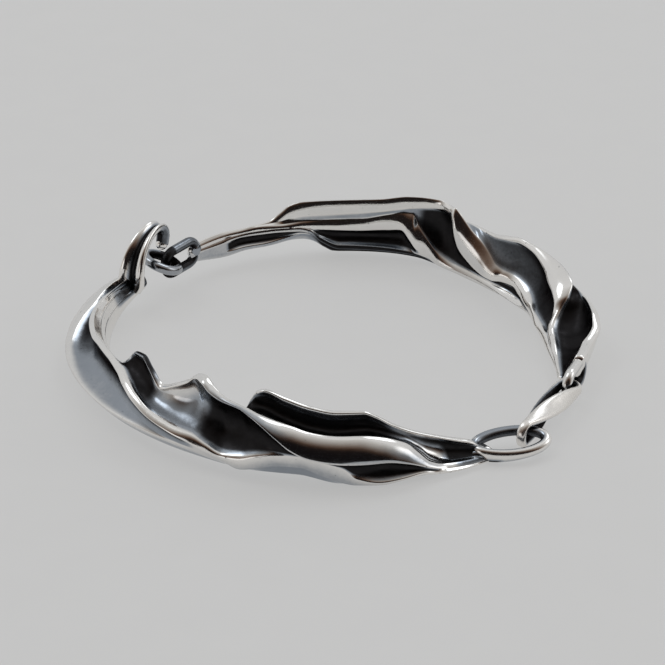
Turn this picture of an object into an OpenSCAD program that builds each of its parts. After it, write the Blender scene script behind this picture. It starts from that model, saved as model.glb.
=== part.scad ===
// Twisted silver arm ring: two rigid halves of folded leaves, a flat link and a hooked clasp.
// Millimetres, +Z up. The ring lies on its side on the plane z = 0, and the wrist goes in along Z.
// Angles run round the ring, seen from above, from +X toward +Y.

/* [Ring] */
// Length of the oval that runs through the middle of the metal, along X
ring_len = 63; // [61.5:0.5:65]
// Width of that oval, along Y
ring_wide = 57; // [55.5:0.5:59]

/* [Leaves] */
// Height that the leaves' "up" shares are taken of
leaf_high = 10; // [9.5:0.1:11]
// Depth across the ring that the leaves' "out" shares are taken of
leaf_deep = 5; // [4.7:0.1:5.5]
// How much the polished bands bulge, as a share of their width
band_bulge = 0.12; // [0:0.02:0.2]
// Length of the rounded nose that closes each end of a half
nose_len = 0.9; // [0.5:0.1:1.5]

/* [Eyes] */
// Thickness of the wire of the eyes
eye_wire = 1.3; // [1.15:0.05:1.4]
// Length of the front half's eye, middle to middle of its wire
front_eye_len = 9; // [8.6:0.1:9.6]
// Width of the front half's eye, middle to middle of its wire
front_eye_wide = 4.2; // [4:0.1:4.6]
// How much taller that eye's wire is where its lower arm leaves the leaf
front_eye_root = 0.9; // [0.7:0.1:1]
// Length of the back half's right eye, middle to middle of its wire
back_eye_len = 6; // [5.7:0.1:6.4]
// Width of the back half's right eye, middle to middle of its wire
back_eye_wide = 3.2; // [3.1:0.1:3.4]
// Length of the eye at the back half's left end, middle to middle of its wire
left_eye_len = 6.3; // [6:0.1:6.6]

/* [Link] */
// Thickness of the link's strap
link_thick = 0.9; // [0.7:0.05:1]
// Width of the strap halfway along the link
link_wide = 2.4; // [2:0.1:2.8]
// Width of the strap in the link's end turns
link_end_wide = 1.2; // [1:0.1:1.3]
// Free play between the link and the wire of an eye, on each side
link_play = 0.35; // [0.25:0.05:0.4]
// How much further the link hangs past the front half's eye
link_slack = 0.5; // [0.4:0.05:0.7]
// How far the link is twisted along its length, in degrees
link_twist = 90; // [80:5:100]

/* [Clasp] */
// Thickness of the wire of the catch ring
catch_wire = 1.3; // [1.1:0.05:1.4]
// Diameter of the catch ring, middle to middle of its wire
catch_round = 4.7; // [4.5:0.1:5]
// Free play between the catch ring and the eye it hangs in, on each side
catch_play = 0.35; // [0.3:0.05:0.45]
// Height of the hook's arch above the leaf that it grows from
hook_high = 6; // [5.8:0.1:6.4]
// Width of the hook's folded blade at its foot
hook_wide = 3.6; // [3.2:0.1:3.8]
// Thickness of that blade
hook_thick = 1.2; // [1:0.05:1.4]
// Diameter of the ball that ends the hook
hook_ball = 1.6; // [1.4:0.1:1.7]

/* [Hidden] */

// Angles where each half starts and ends
front_from = 148;
front_to = 306;
back_from = -14;
back_to = 127;

// Sections along the halves
front_sections = 84;
back_sections = 74;

// Each rim is a polished band with an inner edge a and an outer edge b. Rows are
// [angle, a out, a up, b out, b up, dip of the dark groove that follows, as a share of its width].
// Out is a share of leaf_deep from the middle of the metal, and up a share of leaf_high from the floor.
// On the front half out points away from the wrist, and on the back half toward it.

// Front half: the first leaf's outer wall
front_outer = [
    [148, 0.05, 0.47, 0.22, 0.39, 0],
    [154, 0.06, 0.51, 0.38, 0.38, 0],
    [160, 0.08, 0.52, 0.52, 0.34, 0],
    [166, 0.12, 0.50, 0.60, 0.31, 0],
    [172, 0.28, 0.45, 0.64, 0.29, 0],
    [178, 0.42, 0.39, 0.64, 0.27, 0],
    [184, 0.50, 0.34, 0.62, 0.26, 0],
    [190, 0.50, 0.31, 0.58, 0.25, 0],
    [200, 0.48, 0.30, 0.44, 0.22, 0],
    [210, 0.44, 0.30, 0.34, 0.22, 0],
    [220, 0.40, 0.30, 0.28, 0.22, 0],
    [230, 0.36, 0.29, 0.22, 0.21, 0],
    [238, 0.33, 0.27, 0.20, 0.19, 0],
    [244, 0.30, 0.20, 0.20, 0.16, 0],
    [250, 0.24, 0.13, 0.14, 0.11, 0],
    [262, 0.26, 0.15, 0.16, 0.12, 0],
    [272, 0.30, 0.04, 0.20, 0.03, 0],
    [284, 0.36, 0.06, 0.26, 0.04, 0],
    [292, 0.30, 0.05, 0.22, 0.03, 0],
    [306, 0.30, 0.03, 0.22, 0.02, 0]
];

// Front half: the bright rim that winds from the wrist side over to the foot
front_rim = [
    [148, -0.26, 0.46, -0.18, 0.49, 0.45],
    [154, -0.28, 0.50, -0.20, 0.53, 0.60],
    [160, -0.30, 0.53, -0.20, 0.56, 0.68],
    [168, -0.24, 0.60, -0.13, 0.61, 0.70],
    [176, -0.18, 0.65, -0.07, 0.65, 0.70],
    [184, -0.17, 0.69, -0.02, 0.67, 0.62],
    [192, -0.17, 0.72, -0.03, 0.69, 0.50],
    [198, -0.22, 0.76, -0.08, 0.72, 0.42],
    [205, -0.21, 0.79, -0.07, 0.74, 0.38],
    [212, -0.13, 0.79, 0.04, 0.73, 0.35],
    [217, 0.03, 0.75, 0.22, 0.69, 0.33],
    [222, 0.19, 0.68, 0.36, 0.61, 0.30],
    [228, 0.28, 0.57, 0.44, 0.51, 0.24],
    [234, 0.29, 0.50, 0.45, 0.43, 0.16],
    [238, 0.28, 0.47, 0.42, 0.38, 0.08],
    [242, 0.32, 0.39, 0.39, 0.30, 0],
    [246, 0.36, 0.32, 0.40, 0.24, 0],
    [250, 0.38, 0.34, 0.40, 0.16, 0],
    [254, 0.40, 0.40, 0.36, 0.20, 0],
    [258, 0.43, 0.44, 0.32, 0.25, 0],
    [263, 0.46, 0.45, 0.36, 0.27, 0],
    [268, 0.48, 0.38, 0.40, 0.17, 0],
    [272, 0.48, 0.30, 0.41, 0.08, 0],
    [275, 0.45, 0.15, 0.41, 0.04, 0],
    [280, 0.47, 0.08, 0.44, 0.03, 0],
    [285, 0.51, 0.12, 0.48, 0.08, 0],
    [289, 0.52, 0.16, 0.50, 0.12, 0],
    [292, 0.48, 0.12, 0.46, 0.08, 0],
    [298, 0.46, 0.08, 0.42, 0.04, 0],
    [306, 0.42, 0.06, 0.38, 0.03, 0]
];

// Front half: two free tips, then the long polished leaf
front_leaf = [
    [148, -0.34, 0.41, -0.30, 0.43, 0],
    [176, -0.36, 0.55, -0.30, 0.59, 0],
    [200, -0.42, 0.60, -0.34, 0.66, 0.06],
    [207, -0.44, 0.65, -0.34, 0.68, 0.14],
    [210, -0.46, 0.76, -0.34, 0.77, 0.30],
    [212.5, -0.47, 0.88, -0.33, 0.88, 0.36],
    [215, -0.49, 1.00, -0.34, 1.01, 0.36],
    [218, -0.49, 1.02, -0.34, 1.02, 0.36],
    [221, -0.48, 0.90, -0.33, 0.90, 0.34],
    [225, -0.46, 0.75, -0.31, 0.73, 0.30],
    [229, -0.47, 0.84, -0.32, 0.82, 0.28],
    [233.5, -0.50, 0.97, -0.33, 0.95, 0.30],
    [236.5, -0.50, 1.09, -0.28, 1.07, 0.30],
    [239, -0.44, 1.12, -0.12, 1.08, 0.30],
    [241.5, -0.28, 1.08, 0.00, 1.02, 0.32],
    [245, -0.08, 1.02, 0.10, 0.97, 0.36],
    [249.5, 0.04, 0.97, 0.20, 0.95, 0.34],
    [252.5, 0.06, 0.93, 0.34, 0.90, 0.32],
    [255.4, 0.10, 0.89, 0.49, 0.83, 0.30],
    [258.3, 0.14, 0.85, 0.60, 0.72, 0.26],
    [261.4, 0.17, 0.81, 0.65, 0.58, 0.20],
    [265, 0.20, 0.75, 0.67, 0.48, 0.10],
    [270, 0.20, 0.70, 0.66, 0.42, 0.12],
    [276, 0.17, 0.68, 0.64, 0.39, 0.34],
    [281, 0.13, 0.62, 0.60, 0.38, 0.48],
    [286, 0.12, 0.50, 0.54, 0.31, 0.42],
    [289, 0.16, 0.36, 0.50, 0.24, 0.30],
    [291.5, 0.24, 0.23, 0.46, 0.18, 0.15],
    [295, 0.26, 0.15, 0.40, 0.11, 0],
    [300, 0.28, 0.12, 0.40, 0.08, 0],
    [306, 0.30, 0.10, 0.38, 0.06, 0]
];

// Front half: the upstanding leaf on the wrist side
front_wall = [
    [148, -0.42, 0.33, -0.38, 0.37, 0],
    [200, -0.50, 0.50, -0.46, 0.54, 0],
    [236, -0.58, 0.61, -0.53, 0.65, 0],
    [246, -0.56, 0.65, -0.50, 0.69, 0.08],
    [249, -0.55, 0.73, -0.44, 0.77, 0.18],
    [250.5, -0.54, 0.90, -0.41, 0.92, 0.36],
    [252, -0.54, 1.03, -0.40, 1.03, 0.48],
    [254, -0.54, 1.06, -0.39, 1.07, 0.56],
    [259, -0.52, 0.99, -0.37, 0.98, 0.62],
    [265, -0.48, 0.90, -0.33, 0.89, 0.66],
    [271, -0.45, 0.85, -0.30, 0.84, 0.66],
    [277, -0.42, 0.85, -0.28, 0.84, 0.62],
    [280, -0.38, 0.79, -0.24, 0.78, 0.56],
    [284, -0.33, 0.66, -0.19, 0.65, 0.50],
    [288, -0.27, 0.56, -0.12, 0.55, 0.42],
    [295, -0.18, 0.42, -0.03, 0.41, 0.36],
    [300, -0.12, 0.33, 0.04, 0.31, 0.34],
    [302.5, -0.07, 0.28, 0.09, 0.26, 0.26],
    [304.5, -0.02, 0.20, 0.14, 0.17, 0.15],
    [306, 0.03, 0.15, 0.18, 0.12, 0.08]
];

// Front half: [angle, belly out, belly up, foot out, foot up] of the plain wrist side and foot
front_core = [
    [148, -0.40, 0.29, 0.00, 0.21],
    [160, -0.48, 0.26, 0.08, 0.12],
    [176, -0.54, 0.20, 0.14, 0.08],
    [200, -0.60, 0.28, 0.04, 0.08],
    [225, -0.64, 0.32, -0.08, 0.06],
    [245, -0.66, 0.34, -0.12, 0.05],
    [262, -0.68, 0.34, -0.14, 0.04],
    [276, -0.66, 0.32, -0.06, 0.00],
    [288, -0.54, 0.26, 0.00, 0.01],
    [298, -0.34, 0.20, 0.06, 0.01],
    [306, -0.18, 0.14, 0.14, 0.02]
];

front_bands = [front_wall, front_leaf, front_rim, front_outer];

// Back half: the bright rim at the right end that turns over to the outside
back_edge = [
    [-18, -0.26, 0.46, -0.02, 0.48, 0.10],
    [-13, -0.33, 0.46, -0.07, 0.49, 0.25],
    [-7, -0.39, 0.44, -0.14, 0.49, 0.35],
    [-3, -0.54, 0.45, -0.29, 0.50, 0.38],
    [0, -0.65, 0.48, -0.40, 0.54, 0.40],
    [4, -0.66, 0.50, -0.42, 0.62, 0.40],
    [10, -0.64, 0.48, -0.44, 0.60, 0.35],
    [20, -0.60, 0.42, -0.52, 0.52, 0.15],
    [40, -0.58, 0.38, -0.54, 0.46, 0.12],
    [100, -0.44, 0.42, -0.40, 0.47, 0],
    [108, -0.30, 0.40, -0.27, 0.43, 0],
    [118, -0.20, 0.42, -0.18, 0.44, 0],
    [127, -0.14, 0.43, -0.12, 0.45, 0]
];

// Back half: the thin rim that climbs from the wrist side and widens into the outer wall
back_wall = [
    [-18, 0.20, 0.18, 0.23, 0.16, 0],
    [-10, 0.44, 0.20, 0.50, 0.17, 0],
    [-6, 0.50, 0.22, 0.58, 0.18, 0],
    [-1, 0.54, 0.27, 0.66, 0.22, 0.15],
    [5, 0.56, 0.32, 0.68, 0.26, 0.30],
    [8, 0.46, 0.38, 0.62, 0.31, 0.40],
    [10.5, 0.26, 0.48, 0.48, 0.36, 0.40],
    [12.5, -0.02, 0.62, 0.38, 0.50, 0.42],
    [16, -0.26, 0.73, 0.33, 0.60, 0.30],
    [20, -0.27, 0.78, 0.28, 0.64, 0.28],
    [26, -0.22, 0.82, 0.12, 0.71, 0.26],
    [33, -0.14, 0.85, 0.00, 0.78, 0.20],
    [37, -0.12, 0.85, -0.02, 0.79, 0.18],
    [42, -0.10, 0.80, 0.03, 0.76, 0.15],
    [47, -0.18, 0.72, -0.06, 0.71, 0.12],
    [56, -0.42, 0.68, -0.34, 0.70, 0.12],
    [62, -0.52, 0.60, -0.46, 0.65, 0.10],
    [80, -0.56, 0.46, -0.50, 0.54, 0.08],
    [100, -0.36, 0.50, -0.32, 0.53, 0],
    [108, -0.22, 0.46, -0.19, 0.47, 0],
    [118, -0.14, 0.49, -0.12, 0.50, 0],
    [127, -0.08, 0.47, -0.06, 0.475, 0]
];

// Back half: the winding rim, its lens-shaped leaf and the top of the ring's back
back_rim = [
    [-18, 0.25, 0.15, 0.27, 0.13, 0],
    [-8, 0.52, 0.17, 0.56, 0.14, 0],
    [-2, 0.62, 0.18, 0.70, 0.14, 0],
    [3, 0.68, 0.18, 0.76, 0.13, 0],
    [9, 0.68, 0.19, 0.78, 0.12, 0],
    [15, 0.66, 0.19, 0.78, 0.13, 0],
    [20, 0.62, 0.20, 0.70, 0.14, 0.12],
    [25, 0.45, 0.20, 0.57, 0.12, 0.18],
    [30, 0.24, 0.23, 0.44, 0.13, 0.25],
    [34, 0.16, 0.28, 0.30, 0.14, 0.30],
    [37.5, 0.14, 0.31, 0.22, 0.18, 0.30],
    [41, 0.20, 0.33, 0.28, 0.18, 0.30],
    [43.6, 0.22, 0.37, 0.40, 0.17, 0.25],
    [46, 0.16, 0.46, 0.41, 0.18, 0.25],
    [49.5, 0.09, 0.60, 0.36, 0.22, 0.22],
    [52.8, 0.05, 0.72, 0.30, 0.30, 0.22],
    [55.8, -0.02, 0.86, 0.25, 0.42, 0.24],
    [57.2, -0.05, 0.93, 0.22, 0.58, 0.24],
    [58.3, -0.06, 0.97, 0.13, 0.74, 0.22],
    [60, -0.16, 0.95, -0.06, 0.83, 0.20],
    [63.5, -0.30, 0.96, -0.24, 0.83, 0.18],
    [67, -0.28, 0.96, -0.22, 0.81, 0.15],
    [71, -0.20, 0.96, -0.13, 0.79, 0.12],
    [78, 0.02, 0.93, 0.08, 0.74, 0.12],
    [84, 0.07, 0.91, 0.11, 0.70, 0.12],
    [90, 0.10, 0.90, 0.14, 0.68, 0.12],
    [95, 0.06, 0.88, 0.12, 0.67, 0.12],
    [98, 0.00, 0.86, 0.10, 0.66, 0.10],
    [101, -0.04, 0.80, 0.07, 0.63, 0.05],
    [103.5, -0.05, 0.69, 0.06, 0.59, 0],
    [106, -0.02, 0.60, 0.05, 0.575, 0],
    [110, 0.00, 0.57, 0.05, 0.565, 0],
    [114, -0.02, 0.545, 0.02, 0.54, 0],
    [118, -0.05, 0.54, -0.01, 0.535, 0],
    [127, -0.03, 0.48, 0.00, 0.475, 0]
];

// Back half: the rim that drops from the top to the foot beside the deep hollow
back_fall = [
    [-18, 0.24, 0.12, 0.24, 0.11, 0],
    [-8, 0.42, 0.12, 0.38, 0.09, 0],
    [0, 0.64, 0.11, 0.54, 0.06, 0],
    [8, 0.74, 0.08, 0.64, 0.03, 0],
    [17, 0.67, 0.07, 0.62, 0.02, 0],
    [24, 0.55, 0.06, 0.50, 0.02, 0],
    [29, 0.46, 0.06, 0.45, 0.02, 0],
    [33, 0.36, 0.07, 0.46, 0.02, 0],
    [38.6, 0.30, 0.08, 0.42, 0.02, 0],
    [45, 0.26, 0.09, 0.36, 0.01, 0],
    [51, 0.20, 0.10, 0.28, 0.01, 0],
    [57, 0.12, 0.12, 0.20, 0.03, 0],
    [62, 0.04, 0.20, 0.14, 0.06, 0],
    [66, 0.00, 0.40, 0.05, 0.15, 0],
    [68.5, -0.10, 0.56, 0.12, 0.25, 0.10],
    [70, -0.15, 0.70, 0.14, 0.36, 0.30],
    [72.5, -0.06, 0.71, 0.08, 0.48, 0.45],
    [76, 0.00, 0.68, 0.05, 0.45, 0.50],
    [83, 0.08, 0.60, 0.13, 0.43, 0.50],
    [90, 0.12, 0.59, 0.20, 0.45, 0.42],
    [94, 0.13, 0.58, 0.20, 0.47, 0.25],
    [97, 0.13, 0.58, 0.20, 0.50, 0.08],
    [103, 0.12, 0.56, 0.19, 0.52, 0],
    [108, 0.10, 0.56, 0.15, 0.51, 0],
    [114, 0.05, 0.53, 0.09, 0.49, 0],
    [118, 0.03, 0.52, 0.07, 0.48, 0],
    [127, 0.04, 0.46, 0.08, 0.42, 0]
];

// Back half: the lower rim that climbs toward the left end
back_climb = [
    [-18, 0.22, 0.10, 0.21, 0.09, 0],
    [9, 0.56, 0.015, 0.50, 0.01, 0],
    [30, 0.38, 0.01, 0.32, 0.01, 0],
    [50, 0.20, 0.01, 0.14, 0.01, 0],
    [60, 0.10, 0.03, 0.07, 0.02, 0],
    [66, 0.04, 0.12, 0.03, 0.10, 0],
    [70, 0.04, 0.16, 0.04, 0.12, 0],
    [77.5, 0.08, 0.19, 0.08, 0.13, 0],
    [88, 0.14, 0.20, 0.14, 0.14, 0],
    [93, 0.20, 0.34, 0.22, 0.28, 0],
    [96, 0.24, 0.48, 0.26, 0.43, 0.08],
    [99, 0.22, 0.51, 0.24, 0.46, 0.20],
    [103, 0.18, 0.51, 0.21, 0.46, 0.30],
    [108.6, 0.13, 0.50, 0.16, 0.45, 0.35],
    [114, 0.08, 0.48, 0.11, 0.44, 0.33],
    [117, 0.08, 0.47, 0.12, 0.42, 0.12],
    [119, 0.08, 0.45, 0.13, 0.40, 0],
    [127, 0.09, 0.39, 0.11, 0.35, 0]
];

// Back half: the lowest rim at the left end
back_low = [
    [-18, 0.19, 0.08, 0.17, 0.07, 0],
    [9, 0.44, 0.01, 0.38, 0.01, 0],
    [30, 0.26, 0.01, 0.20, 0.01, 0],
    [50, 0.08, 0.01, 0.02, 0.01, 0],
    [60, 0.03, 0.02, 0.00, 0.02, 0],
    [70, 0.00, 0.10, -0.02, 0.09, 0],
    [88, 0.08, 0.12, 0.06, 0.10, 0],
    [92, 0.16, 0.22, 0.14, 0.19, 0],
    [95, 0.20, 0.38, 0.18, 0.34, 0],
    [98, 0.18, 0.41, 0.16, 0.36, 0],
    [102, 0.17, 0.36, 0.16, 0.31, 0],
    [108, 0.15, 0.30, 0.14, 0.25, 0],
    [113, 0.12, 0.29, 0.11, 0.24, 0],
    [118, 0.13, 0.27, 0.11, 0.21, 0],
    [127, 0.11, 0.30, 0.09, 0.25, 0]
];

// Back half: [angle, belly out, belly up, foot out, foot up] of the plain outside and foot
back_core = [
    [-18, -0.14, 0.20, 0.10, 0.12],
    [-6, -0.42, 0.26, 0.14, 0.08],
    [8, -0.62, 0.30, 0.16, 0.00],
    [25, -0.62, 0.32, 0.10, 0.00],
    [45, -0.60, 0.32, -0.16, 0.00],
    [60, -0.62, 0.36, -0.24, 0.01],
    [75, -0.60, 0.34, -0.24, 0.05],
    [90, -0.56, 0.32, -0.20, 0.04],
    [92, -0.55, 0.34, -0.18, 0.11],
    [97, -0.50, 0.38, -0.06, 0.26],
    [101, -0.46, 0.39, -0.06, 0.27],
    [105, -0.42, 0.38, -0.06, 0.23],
    [112, -0.34, 0.36, -0.06, 0.20],
    [118, -0.26, 0.34, -0.03, 0.16],
    [127, -0.18, 0.34, -0.02, 0.21]
];

back_bands = [back_edge, back_wall, back_rim, back_fall, back_climb, back_low];

// Smooth reading of a table at any angle

function row_at(table, angle, i = 0) =
    i >= len(table) - 2 || angle < table[i + 1][0] ? i : row_at(table, angle, i + 1);

function steepness(table, i, column) =
    (table[i + 1][column] - table[i][column]) / (table[i + 1][0] - table[i][0]);

function slope(table, i, column) =
    i == 0 ? steepness(table, 0, column) :
    i == len(table) - 1 ? steepness(table, i - 1, column) :
    let (before = steepness(table, i - 1, column), after = steepness(table, i, column))
    before * after <= 0 ? 0 : 2 * before * after / (before + after);

function share(table, angle, column) =
    let (
        i = row_at(table, angle),
        step = table[i + 1][0] - table[i][0],
        t = (angle - table[i][0]) / step
    )
    table[i][column] * (2 * t ^ 3 - 3 * t ^ 2 + 1)
    + slope(table, i, column) * step * (t ^ 3 - 2 * t ^ 2 + t)
    + table[i + 1][column] * (3 * t ^ 2 - 2 * t ^ 3)
    + slope(table, i + 1, column) * step * (t ^ 3 - t ^ 2);

// Places round the ring

function on_oval(angle) = [ring_len / 2 * cos(angle), ring_wide / 2 * sin(angle), 0];

function outward(angle) =
    let (n = [cos(angle) / ring_len, sin(angle) / ring_wide, 0]) n / norm(n);

function forward(angle) = cross([0, 0, 1], outward(angle));

function at_ring(angle, out, up) = on_oval(angle) + out * outward(angle) + [0, 0, up];

// One section of a half, as [out, up] points in millimetres

function table_point(table, angle, column) =
    [share(table, angle, column) * leaf_deep, share(table, angle, column + 1) * leaf_high];

function arc_between(from, by, to, count) = [
    for (k = [1:count])
        let (t = k / (count + 1))
        (1 - t) ^ 2 * from + 2 * t * (1 - t) * by + t ^ 2 * to
];

function left_of(d) = [-d[1], d[0]];

function band_points(a, b) = [a, (a + b) / 2 + band_bulge * left_of(b - a), b];

function groove_points(from, to, dip) = [
    for (t = [0.25, 0.5, 0.75])
        from + t * (to - from) - dip * (4 * t * (1 - t)) ^ 0.75 * left_of(to - from)
];

function section_points(bands, core, angle) =
    let (
        belly = table_point(core, angle, 1),
        foot = table_point(core, angle, 3),
        first = table_point(bands[0], angle, 1),
        last = table_point(bands[len(bands) - 1], angle, 3),
        low = [0.7 * belly[0] + 0.3 * foot[0], foot[1]],
        high = [0.75 * belly[0] + 0.25 * first[0], 0.4 * belly[1] + 0.6 * first[1]],
        under = [0.8 * last[0] + 0.2 * foot[0], 0.75 * foot[1] + 0.25 * last[1]]
    )
    concat(
        [foot],
        arc_between(foot, low, belly, 2),
        [belly],
        arc_between(belly, high, first, 2),
        [for (i = [0:len(bands) - 1])
            each concat(
                band_points(table_point(bands[i], angle, 1), table_point(bands[i], angle, 3)),
                i == len(bands) - 1 ? [] : groove_points(
                    table_point(bands[i], angle, 3),
                    table_point(bands[i + 1], angle, 1),
                    share(bands[i], angle, 5)
                )
            )
        ],
        arc_between(last, under, foot, 2)
    );

function mean(points, i = 0) = i == len(points) ? points[0] * 0 : points[i] / len(points) + mean(points, i + 1);

// Faces of a stack of closed sections of "side" points each, with an apex before and after them

function stack_faces(side, count) = concat(
    [for (s = [0:count - 2], k = [0:side - 1])
        each [
            [s * side + k, s * side + (k + 1) % side, (s + 1) * side + (k + 1) % side],
            [s * side + k, (s + 1) * side + (k + 1) % side, (s + 1) * side + k]
        ]
    ],
    [for (k = [0:side - 1]) [side * count, (k + 1) % side, k]],
    [for (k = [0:side - 1])
        [side * count + 1, (count - 1) * side + k, (count - 1) * side + (k + 1) % side]]
);

function turned(faces) = [for (f = faces) [f[2], f[1], f[0]]];

// A half of the ring. The mirrored one has its bands on the wrist side.
module leaves(bands, core, from, to, sections, mirrored) {
    way = mirrored ? -1 : 1;
    angles = [for (s = [0:sections - 1]) from + (to - from) * s / (sections - 1)];
    rings = [for (angle = angles)
        [for (p = section_points(bands, core, angle)) at_ring(angle, way * p[0], p[1])]
    ];
    side = len(rings[0]);
    points = concat(
        [for (ring = rings) each ring],
        [mean(rings[0]) - nose_len * forward(from), mean(rings[len(rings) - 1]) + nose_len * forward(to)]
    );
    faces = stack_faces(side, len(rings));
    polyhedron(points, mirrored ? faces : turned(faces), convexity = 12);
}

function turned_about(v, axis, angle) = v * cos(angle) + cross(axis, v) * sin(angle);

// A closed loop of wire or strap in the plane of two unit vectors, twisted about the first of them.
// Route is a list of [along, across, width] rows round the loop.
module wire_loop(centre, along, across, route, thick, twist = 0, sides = 8) {
    count = len(route);
    reach = max([for (r = route) r[0]]);
    lean = [for (r = route) turned_about(across, along, twist / 2 * r[0] / reach)];
    places = [for (i = [0:count - 1]) centre + route[i][0] * along + route[i][1] * lean[i]];
    points = [for (i = [0:count - 1])
        let (
            normal = cross(along, lean[i]),
            ahead = places[(i + 1) % count] - places[(i + count - 1) % count],
            side_raw = cross(ahead, normal),
            side = side_raw / norm(side_raw)
        )
        for (k = [0:sides - 1])
            let (turn = 360 * (k + 0.5) / sides)
            places[i] + thick / 2 * cos(turn) * side / cos(180 / sides)
            + route[i][2] / 2 * sin(turn) * normal / cos(180 / sides)
    ];
    faces = [for (i = [0:count - 1], k = [0:sides - 1])
        let (j = (i + 1) % count, m = (k + 1) % sides)
        each [
            [i * sides + k, i * sides + m, j * sides + m],
            [i * sides + k, j * sides + m, j * sides + k]
        ]
    ];
    polyhedron(points, faces, convexity = 8);
}

// Route of an oval loop of wire that may be taller where one of its arms starts
function oval_route(long, wide, wire, count = 24, root = 0) = [
    for (k = [0:count - 1])
        let (
            turn = 360 * k / count,
            near = ((1 - cos(turn)) / 2) ^ 1.5 * (1 - sin(turn)) / 2
        )
        [long / 2 * cos(turn), wide / 2 * sin(turn), wire + root * near]
];

// Route of a long link with straight sides and a strap that is widest halfway
function link_route(long, high, wide, end_wide, count = 8) =
    let (
        straight = long / 2 - high / 2,
        end = [for (k = [0:count]) -90 + 180 * k / count],
        half = concat(
            [for (turn = end) [straight + high / 2 * cos(turn), high / 2 * sin(turn), end_wide]],
            [for (t = [0.7, 0.35, 0, -0.35, -0.7]) [t * straight, high / 2, wide - (wide - end_wide) * t ^ 2]]
        )
    )
    concat(half, [for (r = half) [-r[0], -r[1], r[2]]]);

// Directions: level ones, and ones that lean from the level toward +Z

function heading(angle) = [cos(angle), sin(angle), 0];

function leaning(level, lean) = cos(lean) * level + [0, 0, sin(lean)];

function unit(v) = v / norm(v);

function square_to(v, way) = unit(v - (v * way) * way);

// The front half's eye lies nearly flat on the floor and rises a little toward its tip and its far arm
front_eye_at = [0.692 * ring_len / 2, -0.80 * ring_wide / 2, 0.165 * leaf_high];
front_eye_way = leaning(heading(8), 4);
front_eye_across = square_to(leaning(heading(98), 12), front_eye_way);

// The back half's right eye stands upright just clear of the floor
back_eye_high = (back_eye_wide + eye_wire) / 2 + 0.05;
back_eye_at = [0.975 * ring_len / 2, -0.295 * ring_wide / 2, back_eye_high];
back_eye_way = heading(247);

// The side link stands upright round the front eye's wire and lies level round the back eye's
function on_eye(at, way, across, long, wide, turn) =
    at + long / 2 * cos(turn) * way + wide / 2 * sin(turn) * across;

link_from = on_eye(front_eye_at, front_eye_way, front_eye_across, front_eye_len, front_eye_wide, 55);
link_to = on_eye(back_eye_at, back_eye_way, [0, 0, 1], back_eye_len, back_eye_wide, 0);
link_way = unit(link_to - link_from);
link_at = (link_from + link_to - link_slack * link_way) / 2;
link_out = unit(cross(link_way, [0, 0, 1]));
link_up = cross(link_out, link_way);
link_across = turned_about(link_up, link_way, link_twist / 2);
link_high = eye_wire + 2 * link_play + link_thick;
link_long = norm(link_to - link_from) + link_high + link_slack;

// The eye at the back half's left end stands upright, with the catch ring hanging in it
left_eye_way = heading(232);
left_eye_end = at_ring(127, 0, 0.40 * leaf_high) - 0.4 * left_eye_way;
left_eye_at = left_eye_end + left_eye_len / 2 * left_eye_way;
left_eye_wide = eye_wire + 2 * catch_play + catch_wire;
catch_reach = left_eye_len / 2 - (eye_wire + catch_wire) / 2 - catch_play;
catch_held = left_eye_at + catch_reach * left_eye_way;
catch_way = leaning(heading(50), -21);
catch_side = square_to(leaning(heading(140), 12), catch_way);
catch_at = catch_held - catch_round / 2 * catch_way;

// The hook arches from the front half's left end over the catch ring.
// Rows are [along, up, width], the first two as shares of hook_high and the last of hook_wide.
hook_rows = [
    [-0.04, -0.14, 0.80],
    [0.00, 0.03, 1.00],
    [0.07, 0.36, 0.92],
    [0.24, 0.68, 0.78],
    [0.54, 0.91, 0.62],
    [0.86, 1.00, 0.52],
    [1.10, 0.94, 0.46],
    [1.22, 0.74, 0.44],
    [1.17, 0.48, 0.40]
];
// Outline of the folded blade as [across, outward], with its groove on the outside
hook_fold = [
    [-0.50, 0.50], [-0.28, 0.46], [0.00, -0.05], [0.28, 0.46], [0.50, 0.50],
    [0.54, -0.10], [0.28, -0.50], [-0.28, -0.50], [-0.54, -0.10]
];
hook_foot = at_ring(153.2, -0.33 * leaf_deep, 0.46 * leaf_high);
hook_way = heading(58);
hook_across = heading(148);

module hook() {
    places = [for (r = hook_rows) hook_foot + hook_high * (r[0] * hook_way + r[1] * [0, 0, 1])];
    last = len(places) - 1;
    points = concat(
        [for (i = [0:last])
            let (
                run = unit(places[min(i + 1, last)] - places[max(i - 1, 0)]),
                outer = cross(run, hook_across)
            )
            for (f = hook_fold)
                places[i] + f[0] * hook_rows[i][2] * hook_wide * hook_across + f[1] * hook_thick * outer
        ],
        [places[0], places[last]]
    );
    polyhedron(points, stack_faces(len(hook_fold), last + 1), convexity = 6);
    translate(places[last]) sphere(d = hook_ball, $fn = 12);
}

module front_half() {
    color("silver") union() {
        leaves(front_bands, front_core, front_from, front_to, front_sections, false);
        wire_loop(
            front_eye_at, front_eye_way, front_eye_across,
            oval_route(front_eye_len, front_eye_wide, eye_wire, 24, front_eye_root), eye_wire
        );
        hook();
    }
}

module back_half() {
    color("silver") union() {
        leaves(back_bands, back_core, back_from, back_to, back_sections, true);
        wire_loop(
            back_eye_at, back_eye_way, [0, 0, 1],
            link_route(back_eye_len, back_eye_wide, eye_wire, eye_wire), eye_wire
        );
        wire_loop(
            left_eye_at, left_eye_way, [0, 0, 1],
            link_route(left_eye_len, left_eye_wide, eye_wire, eye_wire, 6), eye_wire
        );
    }
}

module side_link() {
    color("gainsboro") wire_loop(
        link_at, link_way, link_across,
        link_route(link_long, link_high, link_wide, link_end_wide), link_thick, link_twist
    );
}

module catch_ring() {
    color("lightgray") wire_loop(
        catch_at, catch_way, catch_side,
        oval_route(catch_round, catch_round, catch_wire, 16), catch_wire
    );
}

front_half();
back_half();
side_link();
catch_ring();
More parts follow.
